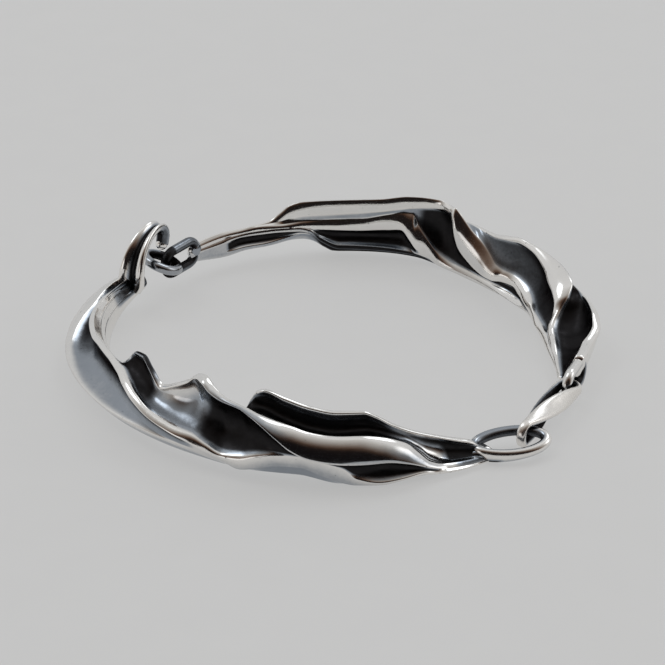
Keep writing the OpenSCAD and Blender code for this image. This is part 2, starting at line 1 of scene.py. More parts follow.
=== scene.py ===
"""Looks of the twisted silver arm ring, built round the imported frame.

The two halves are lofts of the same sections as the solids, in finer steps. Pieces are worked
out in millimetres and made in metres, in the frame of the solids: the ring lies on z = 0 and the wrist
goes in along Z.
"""

import math

import bpy
import numpy as np
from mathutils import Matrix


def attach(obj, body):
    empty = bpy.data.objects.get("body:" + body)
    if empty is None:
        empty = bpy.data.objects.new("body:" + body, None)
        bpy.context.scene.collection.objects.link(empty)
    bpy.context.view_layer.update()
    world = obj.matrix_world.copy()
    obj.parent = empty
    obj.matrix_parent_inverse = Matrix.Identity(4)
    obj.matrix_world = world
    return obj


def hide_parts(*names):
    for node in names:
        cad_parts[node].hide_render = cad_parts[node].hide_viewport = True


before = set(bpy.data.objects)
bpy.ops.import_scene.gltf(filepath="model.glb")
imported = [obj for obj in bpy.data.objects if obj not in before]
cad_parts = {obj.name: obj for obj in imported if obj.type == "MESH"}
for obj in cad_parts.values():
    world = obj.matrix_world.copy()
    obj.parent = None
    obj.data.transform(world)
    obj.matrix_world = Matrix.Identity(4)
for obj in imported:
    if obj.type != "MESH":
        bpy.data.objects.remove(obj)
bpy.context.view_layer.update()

MM = 0.001
UP = np.array([0.0, 0.0, 1.0])

# Sizes in millimetres, as in the part's source
RING_LEN = 63
RING_WIDE = 57
LEAF_HIGH = 10
LEAF_DEEP = 5
BAND_BULGE = 0.12
NOSE_LEN = 0.9

EYE_WIRE = 1.3
FRONT_EYE_LEN = 9
FRONT_EYE_WIDE = 4.2
FRONT_EYE_ROOT = 0.9
BACK_EYE_LEN = 6
BACK_EYE_WIDE = 3.2
LEFT_EYE_LEN = 6.3

LINK_THICK = 0.9
LINK_WIDE = 2.4
LINK_END_WIDE = 1.2
LINK_PLAY = 0.35
LINK_SLACK = 0.5
LINK_TWIST = 90

CATCH_WIRE = 1.3
CATCH_ROUND = 4.7
CATCH_PLAY = 0.35
HOOK_HIGH = 6
HOOK_WIDE = 3.6
HOOK_THICK = 1.2
HOOK_BALL = 1.6

# Places as in the part's source. Angles, headings and leans in degrees, out and along as shares of the
# ring's half sizes or of LEAF_DEEP, up as shares of LEAF_HIGH.
FRONT_FROM, FRONT_TO = 148, 306
BACK_FROM, BACK_TO = -14, 127
FRONT_EYE_PLACE = (0.692, -0.80, 0.165)
FRONT_EYE_HEADING, FRONT_EYE_CLIMB, FRONT_EYE_LEAN = 8, 4, 12
BACK_EYE_PLACE = (0.975, -0.295)
BACK_EYE_HEADING = 247
BACK_EYE_GAP = 0.05
LINK_GRIP = 55
LEFT_EYE_HEADING = 232
LEFT_EYE_UP = 0.40
LEFT_EYE_SUNK = 0.4
CATCH_HEADING, CATCH_CLIMB, CATCH_LEAN = 50, -21, 12
HOOK_PLACE = (153.2, -0.33, 0.46)
HOOK_HEADING = 58

# A band is a polished strip between its edges a and b, and dip is how deep the groove after it goes, as
# a share of the groove's width. Rows are [angle, a out, a up, b out, b up, dip].
# Out is a share of LEAF_DEEP and up a share of LEAF_HIGH. On the back half out points toward the wrist.

# Front half: the first leaf's outer wall
FRONT_OUTER = [
    [148, 0.05, 0.47, 0.22, 0.39, 0],
    [154, 0.06, 0.51, 0.38, 0.38, 0],
    [160, 0.08, 0.52, 0.52, 0.34, 0],
    [166, 0.12, 0.50, 0.60, 0.31, 0],
    [172, 0.28, 0.45, 0.64, 0.29, 0],
    [178, 0.42, 0.39, 0.64, 0.27, 0],
    [184, 0.50, 0.34, 0.62, 0.26, 0],
    [190, 0.50, 0.31, 0.58, 0.25, 0],
    [200, 0.48, 0.30, 0.44, 0.22, 0],
    [210, 0.44, 0.30, 0.34, 0.22, 0],
    [220, 0.40, 0.30, 0.28, 0.22, 0],
    [230, 0.36, 0.29, 0.22, 0.21, 0],
    [238, 0.33, 0.27, 0.20, 0.19, 0],
    [244, 0.30, 0.20, 0.20, 0.16, 0],
    [250, 0.24, 0.13, 0.14, 0.11, 0],
    [262, 0.26, 0.15, 0.16, 0.12, 0],
    [272, 0.30, 0.04, 0.20, 0.03, 0],
    [284, 0.36, 0.06, 0.26, 0.04, 0],
    [292, 0.30, 0.05, 0.22, 0.03, 0],
    [306, 0.30, 0.03, 0.22, 0.02, 0],
]

# Front half: the bright rim that winds from the wrist side over to the foot
FRONT_RIM = [
    [148, -0.26, 0.46, -0.18, 0.49, 0.45],
    [154, -0.28, 0.50, -0.20, 0.53, 0.60],
    [160, -0.30, 0.53, -0.20, 0.56, 0.68],
    [168, -0.24, 0.60, -0.13, 0.61, 0.70],
    [176, -0.18, 0.65, -0.07, 0.65, 0.70],
    [184, -0.17, 0.69, -0.02, 0.67, 0.62],
    [192, -0.17, 0.72, -0.03, 0.69, 0.50],
    [198, -0.22, 0.76, -0.08, 0.72, 0.42],
    [205, -0.21, 0.79, -0.07, 0.74, 0.38],
    [212, -0.13, 0.79, 0.04, 0.73, 0.35],
    [217, 0.03, 0.75, 0.22, 0.69, 0.33],
    [222, 0.19, 0.68, 0.36, 0.61, 0.30],
    [228, 0.28, 0.57, 0.44, 0.51, 0.24],
    [234, 0.29, 0.50, 0.45, 0.43, 0.16],
    [238, 0.28, 0.47, 0.42, 0.38, 0.08],
    [242, 0.32, 0.39, 0.39, 0.30, 0],
    [246, 0.36, 0.32, 0.40, 0.24, 0],
    [250, 0.38, 0.34, 0.40, 0.16, 0],
    [254, 0.40, 0.40, 0.36, 0.20, 0],
    [258, 0.43, 0.44, 0.32, 0.25, 0],
    [263, 0.46, 0.45, 0.36, 0.27, 0],
    [268, 0.48, 0.38, 0.40, 0.17, 0],
    [272, 0.48, 0.30, 0.41, 0.08, 0],
    [275, 0.45, 0.15, 0.41, 0.04, 0],
    [280, 0.47, 0.08, 0.44, 0.03, 0],
    [285, 0.51, 0.12, 0.48, 0.08, 0],
    [289, 0.52, 0.16, 0.50, 0.12, 0],
    [292, 0.48, 0.12, 0.46, 0.08, 0],
    [298, 0.46, 0.08, 0.42, 0.04, 0],
    [306, 0.42, 0.06, 0.38, 0.03, 0],
]

# Front half: two free tips, then the long polished leaf
FRONT_LEAF = [
    [148, -0.34, 0.41, -0.30, 0.43, 0],
    [176, -0.36, 0.55, -0.30, 0.59, 0],
    [200, -0.42, 0.60, -0.34, 0.66, 0.06],
    [207, -0.44, 0.65, -0.34, 0.68, 0.14],
    [210, -0.46, 0.76, -0.34, 0.77, 0.30],
    [212.5, -0.47, 0.88, -0.33, 0.88, 0.36],
    [215, -0.49, 1.00, -0.34, 1.01, 0.36],
    [218, -0.49, 1.02, -0.34, 1.02, 0.36],
    [221, -0.48, 0.90, -0.33, 0.90, 0.34],
    [225, -0.46, 0.75, -0.31, 0.73, 0.30],
    [229, -0.47, 0.84, -0.32, 0.82, 0.28],
    [233.5, -0.50, 0.97, -0.33, 0.95, 0.30],
    [236.5, -0.50, 1.09, -0.28, 1.07, 0.30],
    [239, -0.44, 1.12, -0.12, 1.08, 0.30],
    [241.5, -0.28, 1.08, 0.00, 1.02, 0.32],
    [245, -0.08, 1.02, 0.10, 0.97, 0.36],
    [249.5, 0.04, 0.97, 0.20, 0.95, 0.34],
    [252.5, 0.06, 0.93, 0.34, 0.90, 0.32],
    [255.4, 0.10, 0.89, 0.49, 0.83, 0.30],
    [258.3, 0.14, 0.85, 0.60, 0.72, 0.26],
    [261.4, 0.17, 0.81, 0.65, 0.58, 0.20],
    [265, 0.20, 0.75, 0.67, 0.48, 0.10],
    [270, 0.20, 0.70, 0.66, 0.42, 0.12],
    [276, 0.17, 0.68, 0.64, 0.39, 0.34],
    [281, 0.13, 0.62, 0.60, 0.38, 0.48],
    [286, 0.12, 0.50, 0.54, 0.31, 0.42],
    [289, 0.16, 0.36, 0.50, 0.24, 0.30],
    [291.5, 0.24, 0.23, 0.46, 0.18, 0.15],
    [295, 0.26, 0.15, 0.40, 0.11, 0],
    [300, 0.28, 0.12, 0.40, 0.08, 0],
    [306, 0.30, 0.10, 0.38, 0.06, 0],
]

# Front half: the upstanding leaf on the wrist side
FRONT_WALL = [
    [148, -0.42, 0.33, -0.38, 0.37, 0],
    [200, -0.50, 0.50, -0.46, 0.54, 0],
    [236, -0.58, 0.61, -0.53, 0.65, 0],
    [246, -0.56, 0.65, -0.50, 0.69, 0.08],
    [249, -0.55, 0.73, -0.44, 0.77, 0.18],
    [250.5, -0.54, 0.90, -0.41, 0.92, 0.36],
    [252, -0.54, 1.03, -0.40, 1.03, 0.48],
    [254, -0.54, 1.06, -0.39, 1.07, 0.56],
    [259, -0.52, 0.99, -0.37, 0.98, 0.62],
    [265, -0.48, 0.90, -0.33, 0.89, 0.66],
    [271, -0.45, 0.85, -0.30, 0.84, 0.66],
    [277, -0.42, 0.85, -0.28, 0.84, 0.62],
    [280, -0.38, 0.79, -0.24, 0.78, 0.56],
    [284, -0.33, 0.66, -0.19, 0.65, 0.50],
    [288, -0.27, 0.56, -0.12, 0.55, 0.42],
    [295, -0.18, 0.42, -0.03, 0.41, 0.36],
    [300, -0.12, 0.33, 0.04, 0.31, 0.34],
    [302.5, -0.07, 0.28, 0.09, 0.26, 0.26],
    [304.5, -0.02, 0.20, 0.14, 0.17, 0.15],
    [306, 0.03, 0.15, 0.18, 0.12, 0.08],
]

# Front half: [angle, belly out, belly up, foot out, foot up] of the plain wrist side and foot
FRONT_CORE = [
    [148, -0.40, 0.29, 0.00, 0.21],
    [160, -0.48, 0.26, 0.08, 0.12],
    [176, -0.54, 0.20, 0.14, 0.08],
    [200, -0.60, 0.28, 0.04, 0.08],
    [225, -0.64, 0.32, -0.08, 0.06],
    [245, -0.66, 0.34, -0.12, 0.05],
    [262, -0.68, 0.34, -0.14, 0.04],
    [276, -0.66, 0.32, -0.06, 0.00],
    [288, -0.54, 0.26, 0.00, 0.01],
    [298, -0.34, 0.20, 0.06, 0.01],
    [306, -0.18, 0.14, 0.14, 0.02],
]

# Back half: the bright rim at the right end that turns over to the outside
BACK_EDGE = [
    [-18, -0.26, 0.46, -0.02, 0.48, 0.10],
    [-13, -0.33, 0.46, -0.07, 0.49, 0.25],
    [-7, -0.39, 0.44, -0.14, 0.49, 0.35],
    [-3, -0.54, 0.45, -0.29, 0.50, 0.38],
    [0, -0.65, 0.48, -0.40, 0.54, 0.40],
    [4, -0.66, 0.50, -0.42, 0.62, 0.40],
    [10, -0.64, 0.48, -0.44, 0.60, 0.35],
    [20, -0.60, 0.42, -0.52, 0.52, 0.15],
    [40, -0.58, 0.38, -0.54, 0.46, 0.12],
    [100, -0.44, 0.42, -0.40, 0.47, 0],
    [108, -0.30, 0.40, -0.27, 0.43, 0],
    [118, -0.20, 0.42, -0.18, 0.44, 0],
    [127, -0.14, 0.43, -0.12, 0.45, 0],
]

# Back half: the thin rim that climbs from the wrist side and widens into the outer wall
BACK_WALL = [
    [-18, 0.20, 0.18, 0.23, 0.16, 0],
    [-10, 0.44, 0.20, 0.50, 0.17, 0],
    [-6, 0.50, 0.22, 0.58, 0.18, 0],
    [-1, 0.54, 0.27, 0.66, 0.22, 0.15],
    [5, 0.56, 0.32, 0.68, 0.26, 0.30],
    [8, 0.46, 0.38, 0.62, 0.31, 0.40],
    [10.5, 0.26, 0.48, 0.48, 0.36, 0.40],
    [12.5, -0.02, 0.62, 0.38, 0.50, 0.42],
    [16, -0.26, 0.73, 0.33, 0.60, 0.30],
    [20, -0.27, 0.78, 0.28, 0.64, 0.28],
    [26, -0.22, 0.82, 0.12, 0.71, 0.26],
    [33, -0.14, 0.85, 0.00, 0.78, 0.20],
    [37, -0.12, 0.85, -0.02, 0.79, 0.18],
    [42, -0.10, 0.80, 0.03, 0.76, 0.15],
    [47, -0.18, 0.72, -0.06, 0.71, 0.12],
    [56, -0.42, 0.68, -0.34, 0.70, 0.12],
    [62, -0.52, 0.60, -0.46, 0.65, 0.10],
    [80, -0.56, 0.46, -0.50, 0.54, 0.08],
    [100, -0.36, 0.50, -0.32, 0.53, 0],
    [108, -0.22, 0.46, -0.19, 0.47, 0],
    [118, -0.14, 0.49, -0.12, 0.50, 0],
    [127, -0.08, 0.47, -0.06, 0.475, 0],
]

# Back half: the winding rim, its lens-shaped leaf and the top of the ring's back
BACK_RIM = [
    [-18, 0.25, 0.15, 0.27, 0.13, 0],
    [-8, 0.52, 0.17, 0.56, 0.14, 0],
    [-2, 0.62, 0.18, 0.70, 0.14, 0],
    [3, 0.68, 0.18, 0.76, 0.13, 0],
    [9, 0.68, 0.19, 0.78, 0.12, 0],
    [15, 0.66, 0.19, 0.78, 0.13, 0],
    [20, 0.62, 0.20, 0.70, 0.14, 0.12],
    [25, 0.45, 0.20, 0.57, 0.12, 0.18],
    [30, 0.24, 0.23, 0.44, 0.13, 0.25],
    [34, 0.16, 0.28, 0.30, 0.14, 0.30],
    [37.5, 0.14, 0.31, 0.22, 0.18, 0.30],
    [41, 0.20, 0.33, 0.28, 0.18, 0.30],
    [43.6, 0.22, 0.37, 0.40, 0.17, 0.25],
    [46, 0.16, 0.46, 0.41, 0.18, 0.25],
    [49.5, 0.09, 0.60, 0.36, 0.22, 0.22],
    [52.8, 0.05, 0.72, 0.30, 0.30, 0.22],
    [55.8, -0.02, 0.86, 0.25, 0.42, 0.24],
    [57.2, -0.05, 0.93, 0.22, 0.58, 0.24],
    [58.3, -0.06, 0.97, 0.13, 0.74, 0.22],
    [60, -0.16, 0.95, -0.06, 0.83, 0.20],
    [63.5, -0.30, 0.96, -0.24, 0.83, 0.18],
    [67, -0.28, 0.96, -0.22, 0.81, 0.15],
    [71, -0.20, 0.96, -0.13, 0.79, 0.12],
    [78, 0.02, 0.93, 0.08, 0.74, 0.12],
    [84, 0.07, 0.91, 0.11, 0.70, 0.12],
    [90, 0.10, 0.90, 0.14, 0.68, 0.12],
    [95, 0.06, 0.88, 0.12, 0.67, 0.12],
    [98, 0.00, 0.86, 0.10, 0.66, 0.10],
    [101, -0.04, 0.80, 0.07, 0.63, 0.05],
    [103.5, -0.05, 0.69, 0.06, 0.59, 0],
    [106, -0.02, 0.60, 0.05, 0.575, 0],
    [110, 0.00, 0.57, 0.05, 0.565, 0],
    [114, -0.02, 0.545, 0.02, 0.54, 0],
    [118, -0.05, 0.54, -0.01, 0.535, 0],
    [127, -0.03, 0.48, 0.00, 0.475, 0],
]

# Back half: the rim that drops from the top to the foot beside the deep hollow
BACK_FALL = [
    [-18, 0.24, 0.12, 0.24, 0.11, 0],
    [-8, 0.42, 0.12, 0.38, 0.09, 0],
    [0, 0.64, 0.11, 0.54, 0.06, 0],
    [8, 0.74, 0.08, 0.64, 0.03, 0],
    [17, 0.67, 0.07, 0.62, 0.02, 0],
    [24, 0.55, 0.06, 0.50, 0.02, 0],
    [29, 0.46, 0.06, 0.45, 0.02, 0],
    [33, 0.36, 0.07, 0.46, 0.02, 0],
    [38.6, 0.30, 0.08, 0.42, 0.02, 0],
    [45, 0.26, 0.09, 0.36, 0.01, 0],
    [51, 0.20, 0.10, 0.28, 0.01, 0],
    [57, 0.12, 0.12, 0.20, 0.03, 0],
    [62, 0.04, 0.20, 0.14, 0.06, 0],
    [66, 0.00, 0.40, 0.05, 0.15, 0],
    [68.5, -0.10, 0.56, 0.12, 0.25, 0.10],
    [70, -0.15, 0.70, 0.14, 0.36, 0.30],
    [72.5, -0.06, 0.71, 0.08, 0.48, 0.45],
    [76, 0.00, 0.68, 0.05, 0.45, 0.50],
    [83, 0.08, 0.60, 0.13, 0.43, 0.50],
    [90, 0.12, 0.59, 0.20, 0.45, 0.42],
    [94, 0.13, 0.58, 0.20, 0.47, 0.25],
    [97, 0.13, 0.58, 0.20, 0.50, 0.08],
    [103, 0.12, 0.56, 0.19, 0.52, 0],
    [108, 0.10, 0.56, 0.15, 0.51, 0],
    [114, 0.05, 0.53, 0.09, 0.49, 0],
    [118, 0.03, 0.52, 0.07, 0.48, 0],
    [127, 0.04, 0.46, 0.08, 0.42, 0],
]

# Back half: the lower rim that climbs toward the left end
BACK_CLIMB = [
    [-18, 0.22, 0.10, 0.21, 0.09, 0],
    [9, 0.56, 0.015, 0.50, 0.01, 0],
    [30, 0.38, 0.01, 0.32, 0.01, 0],
    [50, 0.20, 0.01, 0.14, 0.01, 0],
    [60, 0.10, 0.03, 0.07, 0.02, 0],
    [66, 0.04, 0.12, 0.03, 0.10, 0],
    [70, 0.04, 0.16, 0.04, 0.12, 0],
    [77.5, 0.08, 0.19, 0.08, 0.13, 0],
    [88, 0.14, 0.20, 0.14, 0.14, 0],
    [93, 0.20, 0.34, 0.22, 0.28, 0],
    [96, 0.24, 0.48, 0.26, 0.43, 0.08],
    [99, 0.22, 0.51, 0.24, 0.46, 0.20],
    [103, 0.18, 0.51, 0.21, 0.46, 0.30],
    [108.6, 0.13, 0.50, 0.16, 0.45, 0.35],
    [114, 0.08, 0.48, 0.11, 0.44, 0.33],
    [117, 0.08, 0.47, 0.12, 0.42, 0.12],
    [119, 0.08, 0.45, 0.13, 0.40, 0],
    [127, 0.09, 0.39, 0.11, 0.35, 0],
]

# Back half: the lowest rim at the left end
BACK_LOW = [
    [-18, 0.19, 0.08, 0.17, 0.07, 0],
    [9, 0.44, 0.01, 0.38, 0.01, 0],
    [30, 0.26, 0.01, 0.20, 0.01, 0],
    [50, 0.08, 0.01, 0.02, 0.01, 0],
    [60, 0.03, 0.02, 0.00, 0.02, 0],
    [70, 0.00, 0.10, -0.02, 0.09, 0],
    [88, 0.08, 0.12, 0.06, 0.10, 0],
    [92, 0.16, 0.22, 0.14, 0.19, 0],
    [95, 0.20, 0.38, 0.18, 0.34, 0],
    [98, 0.18, 0.41, 0.16, 0.36, 0],
    [102, 0.17, 0.36, 0.16, 0.31, 0],
    [108, 0.15, 0.30, 0.14, 0.25, 0],
    [113, 0.12, 0.29, 0.11, 0.24, 0],
    [118, 0.13, 0.27, 0.11, 0.21, 0],
    [127, 0.11, 0.30, 0.09, 0.25, 0],
]

# Back half: [angle, belly out, belly up, foot out, foot up] of the plain outside and foot
BACK_CORE = [
    [-18, -0.14, 0.20, 0.10, 0.12],
    [-6, -0.42, 0.26, 0.14, 0.08],
    [8, -0.62, 0.30, 0.16, 0.00],
    [25, -0.62, 0.32, 0.10, 0.00],
    [45, -0.60, 0.32, -0.16, 0.00],
    [60, -0.62, 0.36, -0.24, 0.01],
    [75, -0.60, 0.34, -0.24, 0.05],
    [90, -0.56, 0.32, -0.20, 0.04],
    [92, -0.55, 0.34, -0.18, 0.11],
    [97, -0.50, 0.38, -0.06, 0.26],
    [101, -0.46, 0.39, -0.06, 0.27],
    [105, -0.42, 0.38, -0.06, 0.23],
    [112, -0.34, 0.36, -0.06, 0.20],
    [118, -0.26, 0.34, -0.03, 0.16],
    [127, -0.18, 0.34, -0.02, 0.21],
]

FRONT_BANDS = [FRONT_WALL, FRONT_LEAF, FRONT_RIM, FRONT_OUTER]
BACK_BANDS = [BACK_EDGE, BACK_WALL, BACK_RIM, BACK_FALL, BACK_CLIMB, BACK_LOW]

# How blackened the metal is: 0 is polished, 0.5 a smoky grey and 1 black. Rows are
# [angle, at the upper side, at the lower side] of the groove after each band.
FRONT_SOOT = [
    [
        [148, 0.9, 0.9], [161, 0.9, 0.9], [166, 0.0, 0.0], [246, 0.7, 0.6], [252, 1.0, 1.0],
        [280, 1.0, 1.0], [286, 0.8, 0.6], [289, 1.0, 0.0], [294, 1.0, 0.05], [297, 1.0, 1.0],
        [306, 1.0, 1.0],
    ],
    [
        [148, 0.9, 0.9], [161, 0.9, 0.9], [166, 0.1, 0.1], [180, 0.2, 0.2], [200, 0.9, 0.9],
        [222, 1.0, 1.0], [226, 0.4, 0.75], [230, 0.1, 0.7], [238, 0.15, 0.75], [242, 0.9, 1.0],
        [248, 1.0, 1.0], [306, 1.0, 1.0],
    ],
    [
        [148, 1.0, 1.0], [172, 1.0, 1.0], [180, 1.0, 0.85], [192, 1.0, 0.5], [205, 1.0, 0.42],
        [215, 1.0, 0.45], [240, 0.9, 0.6], [262, 0.9, 0.7], [274, 1.0, 1.0], [306, 1.0, 1.0],
    ],
]
BACK_SOOT = [
    [[-18, 1.0, 1.0], [15, 1.0, 1.0], [30, 0.5, 0.5], [127, 0.4, 0.4]],
    [
        [-18, 1.0, 1.0], [8, 1.0, 1.0], [20, 0.95, 0.9], [33, 0.9, 0.85], [44, 0.8, 0.75],
        [56, 0.6, 0.5], [80, 0.3, 0.3], [127, 0.2, 0.2],
    ],
    [
        [-18, 1.0, 1.0], [33, 1.0, 1.0], [45, 1.0, 1.0], [66, 1.0, 1.0], [70, 0.5, 0.6],
        [78, 0.4, 0.45], [95, 0.3, 0.4], [127, 0.2, 0.2],
    ],
    [[-18, 1.0, 1.0], [127, 1.0, 1.0]],
    [[-18, 1.0, 1.0], [127, 1.0, 1.0]],
]
# The same for the bands themselves, at their edges a and b. On the front half these also carry painted
# light: the long leaf's lower side is darkened as a painted reflection of the dark room, and the outer
# band's lower edge partly as painted shade toward the floor.
FRONT_STAIN_AND_SHADE = [
    [[148, 0.8, 0.8], [161, 0.7, 0.8], [166, 0.1, 0.1], [306, 0.05, 0.1]],
    [
        [148, 0.8, 0.8], [161, 0.7, 0.7], [166, 0.05, 0.05], [198, 0.1, 0.1], [204, 0.2, 0.3],
        # Leaf: its lower edge b, from about 240 to 295 degrees, is darkened as a painted reflection of
        # the dark room
        [208, 0.9, 1.0], [221, 0.9, 1.0], [225, 0.0, 0.1], [238, 0.0, 0.3], [247, 0.0, 0.9],
        [285, 0.0, 0.9], [292, 0.0, 0.5], [296, 0.0, 0.2], [299, 0.7, 0.8], [306, 0.9, 0.9],
    ],
    [
        [148, 0.6, 0.8], [160, 0.5, 0.7], [166, 0.05, 0.2], [172, 0.0, 0.1], [240, 0.0, 0.15],
        [250, 0.0, 0.45], [258, 0.1, 0.6], [270, 0.15, 0.6], [280, 0.1, 0.3], [292, 0.0, 0.1],
        [306, 0.0, 0.05],
    ],
    [
        # Outer band: patina where it forms the lower leaf, and partly painted shade along its lower
        # edge toward the floor
        [148, 0.2, 0.1], [170, 0.1, 0.1], [205, 0.1, 0.2], [225, 0.1, 0.4], [244, 0.2, 0.5],
        [254, 0.5, 0.6], [270, 0.5, 0.6], [274, 0.6, 0.85], [290, 0.75, 0.95], [296, 0.2, 0.3],
        [306, 0.1, 0.2],
    ],
]
BACK_STAIN = [
    [[-18, 0.0, 0.0], [127, 0.1, 0.1]],
    [[-18, 0.0, 0.1], [127, 0.05, 0.1]],
    [
        [-18, 0.0, 0.0], [42, 0.0, 0.05], [48, 0.05, 0.35], [55, 0.05, 0.3], [60, 0.05, 0.1],
        [72, 0.1, 0.15], [95, 0.1, 0.15], [105, 0.05, 0.05], [127, 0.05, 0.05],
    ],
    [[-18, 0.1, 0.2], [60, 0.1, 0.2], [68, 0.1, 0.1], [127, 0.05, 0.1]],
    [
        [-18, 0.3, 0.5], [60, 0.4, 0.6], [68, 1.0, 1.0], [93, 1.0, 1.0], [97, 0.2, 0.3],
        [127, 0.1, 0.3],
    ],
    [
        [-18, 0.5, 0.4], [60, 0.5, 0.4], [68, 1.0, 1.0], [93, 1.0, 0.9], [97, 0.5, 0.3],
        [127, 0.3, 0.2],
    ],
]

# Millimetres from a rim at which the blackening starts, and at which it is full
SOOT_STARTS, SOOT_FULL = 0.02, 0.26
# Dip at which a groove starts to be blackened, and how much more dip makes it fully so
DIP_STARTS, DIP_RANGE = 0.03, 0.09
# How the upper side's soot gives way to the lower side's, across a groove
UPPER_START, UPPER_FALL = 1.15, 1.6
# How many times less stained a band's worn lower edge is
EDGE_WEAR = 3
# Painted shade on the side toward the floor: how dark it is, and how that fades toward the belly and
# toward the last band
PAINTED_FOOT_SHADE = 0.35
BELLY_FADE = (0.8, 0.1)
LAST_FADE = (0.9, 0.1)

# Bends of a section's plain arcs: the shares [out, up] of one end of the arc, the rest is of the other
LOW_BEND = (0.7, 0.0)
HIGH_BEND = (0.75, 0.4)
UNDER_BEND = (0.8, 0.25)
# Form of a groove: 1 is a parabola, and less is fuller
GROOVE_FORM = 0.75

# Fineness of the lofts
STATIONS_PER_DEGREE = 3.2
BAND_STEPS = 6
GROOVE_STEPS = 17
CORE_STEPS = 4
NOSE_STEPS = 5
CREASE_ROUNDS = 2

# Where the soot of a wire's inner side and the painted shade of its lower side start, and how fast they
# grow
INNER_START, INNER_SLOPE = 0.25, 0.9
LOWER_SHADE_START, LOWER_SHADE_SLOPE = 0.3, 1.2
# Share of the way round a wire over which a dark stretch fades out
STRETCH_FADE = 0.06

# The hook's arch: [along, up] as shares of HOOK_HIGH, and the blade's width as a share of HOOK_WIDE
HOOK_ROWS = [
    [-0.04, -0.14, 0.80],
    [0.00, 0.03, 1.00],
    [0.07, 0.36, 0.92],
    [0.24, 0.68, 0.78],
    [0.54, 0.91, 0.62],
    [0.86, 1.00, 0.52],
    [1.10, 0.94, 0.46],
    [1.22, 0.74, 0.44],
    [1.17, 0.48, 0.40],
]
# The blade's folded section: [across, outward] as shares of its width and of HOOK_THICK
HOOK_FOLD = [
    [-0.50, 0.50], [-0.28, 0.46], [0.00, -0.05], [0.28, 0.46], [0.50, 0.50],
    [0.54, -0.10], [0.28, -0.50], [-0.28, -0.50], [-0.54, -0.10],
]
ARCH_STEPS = 10
FOLD_STEPS = 5
# Soot in the fold and on the blade's underside: how strong, and over what share of the width
FOLD_SOOT, FOLD_REACH = 1.35, 0.19
UNDER_SOOT, UNDER_REACH = 1.5, 0.3
UNDER_FROM = -0.3
# Soot toward the hook's tip: how dark, from what share of the arch, over how much of it it grows, and
# how far out on the section it reaches
TIP_SOOT, TIP_FROM, TIP_GROWS, TIP_OUT = 0.75, 0.55, 0.25, 0.8

# Where on the front eye its solder sits, in degrees, how far under the wire, and its turn inward
FRONT_SOLDER_AT = 212
FRONT_SOLDER_DOWN = 0.2
FRONT_SOLDER_TURN = 0.25
# How far the other solder joints sit from the eyes' ends
SOLDER_SHIFT = 0.05
# Half sizes of the solder joints: (along, across, up)
FRONT_SOLDER = (1.9, 0.75, 0.8)
BACK_SOLDER = (1.6, 0.72, 0.70)
LEFT_SOLDER = (1.0, 0.8, 1.2)


# Sections of the halves


def read(table, angles, column):
    """Smooth reading of one column of a table at many angles, without overshoot."""
    rows = np.array(table, dtype=float)
    x, y = rows[:, 0], rows[:, column]
    step = np.diff(x)
    rise = np.diff(y) / step
    slope = np.empty(len(x))
    slope[0], slope[-1] = rise[0], rise[-1]
    before, after = rise[:-1], rise[1:]
    same_way = before * after > 0
    both = np.where(same_way, before + after, 1)
    slope[1:-1] = np.where(same_way, 2 * before * after / both, 0)
    i = np.clip(np.searchsorted(x, angles, side="right") - 1, 0, len(x) - 2)
    t = (angles - x[i]) / step[i]
    return (
        y[i] * (2 * t**3 - 3 * t**2 + 1)
        + slope[i] * step[i] * (t**3 - 2 * t**2 + t)
        + y[i + 1] * (3 * t**2 - 2 * t**3)
        + slope[i + 1] * step[i] * (t**3 - t**2)
    )


def table_point(table, angles, column):
    """Points [out, up] in millimetres, one a station."""
    out = read(table, angles, column) * LEAF_DEEP
    up = read(table, angles, column + 1) * LEAF_HIGH
    return np.stack([out, up], 1)


def left_of(d):
    return np.stack([-d[:, 1], d[:, 0]], 1)


def bend(a, b, shares):
    """A point with these shares [out, up] of a, and the rest of b."""
    shares = np.array(shares)
    return shares * a + (1 - shares) * b


def arc(start, by, end, count):
    """Points of a curved run between two places, without its ends."""
    ts = [(k + 1) / (count + 1) for k in range(count)]
    return [(1 - t) ** 2 * start + 2 * t * (1 - t) * by + t**2 * end for t in ts]


def smooth(x):
    x = np.clip(x, 0, 1)
    return x * x * (3 - 2 * x)


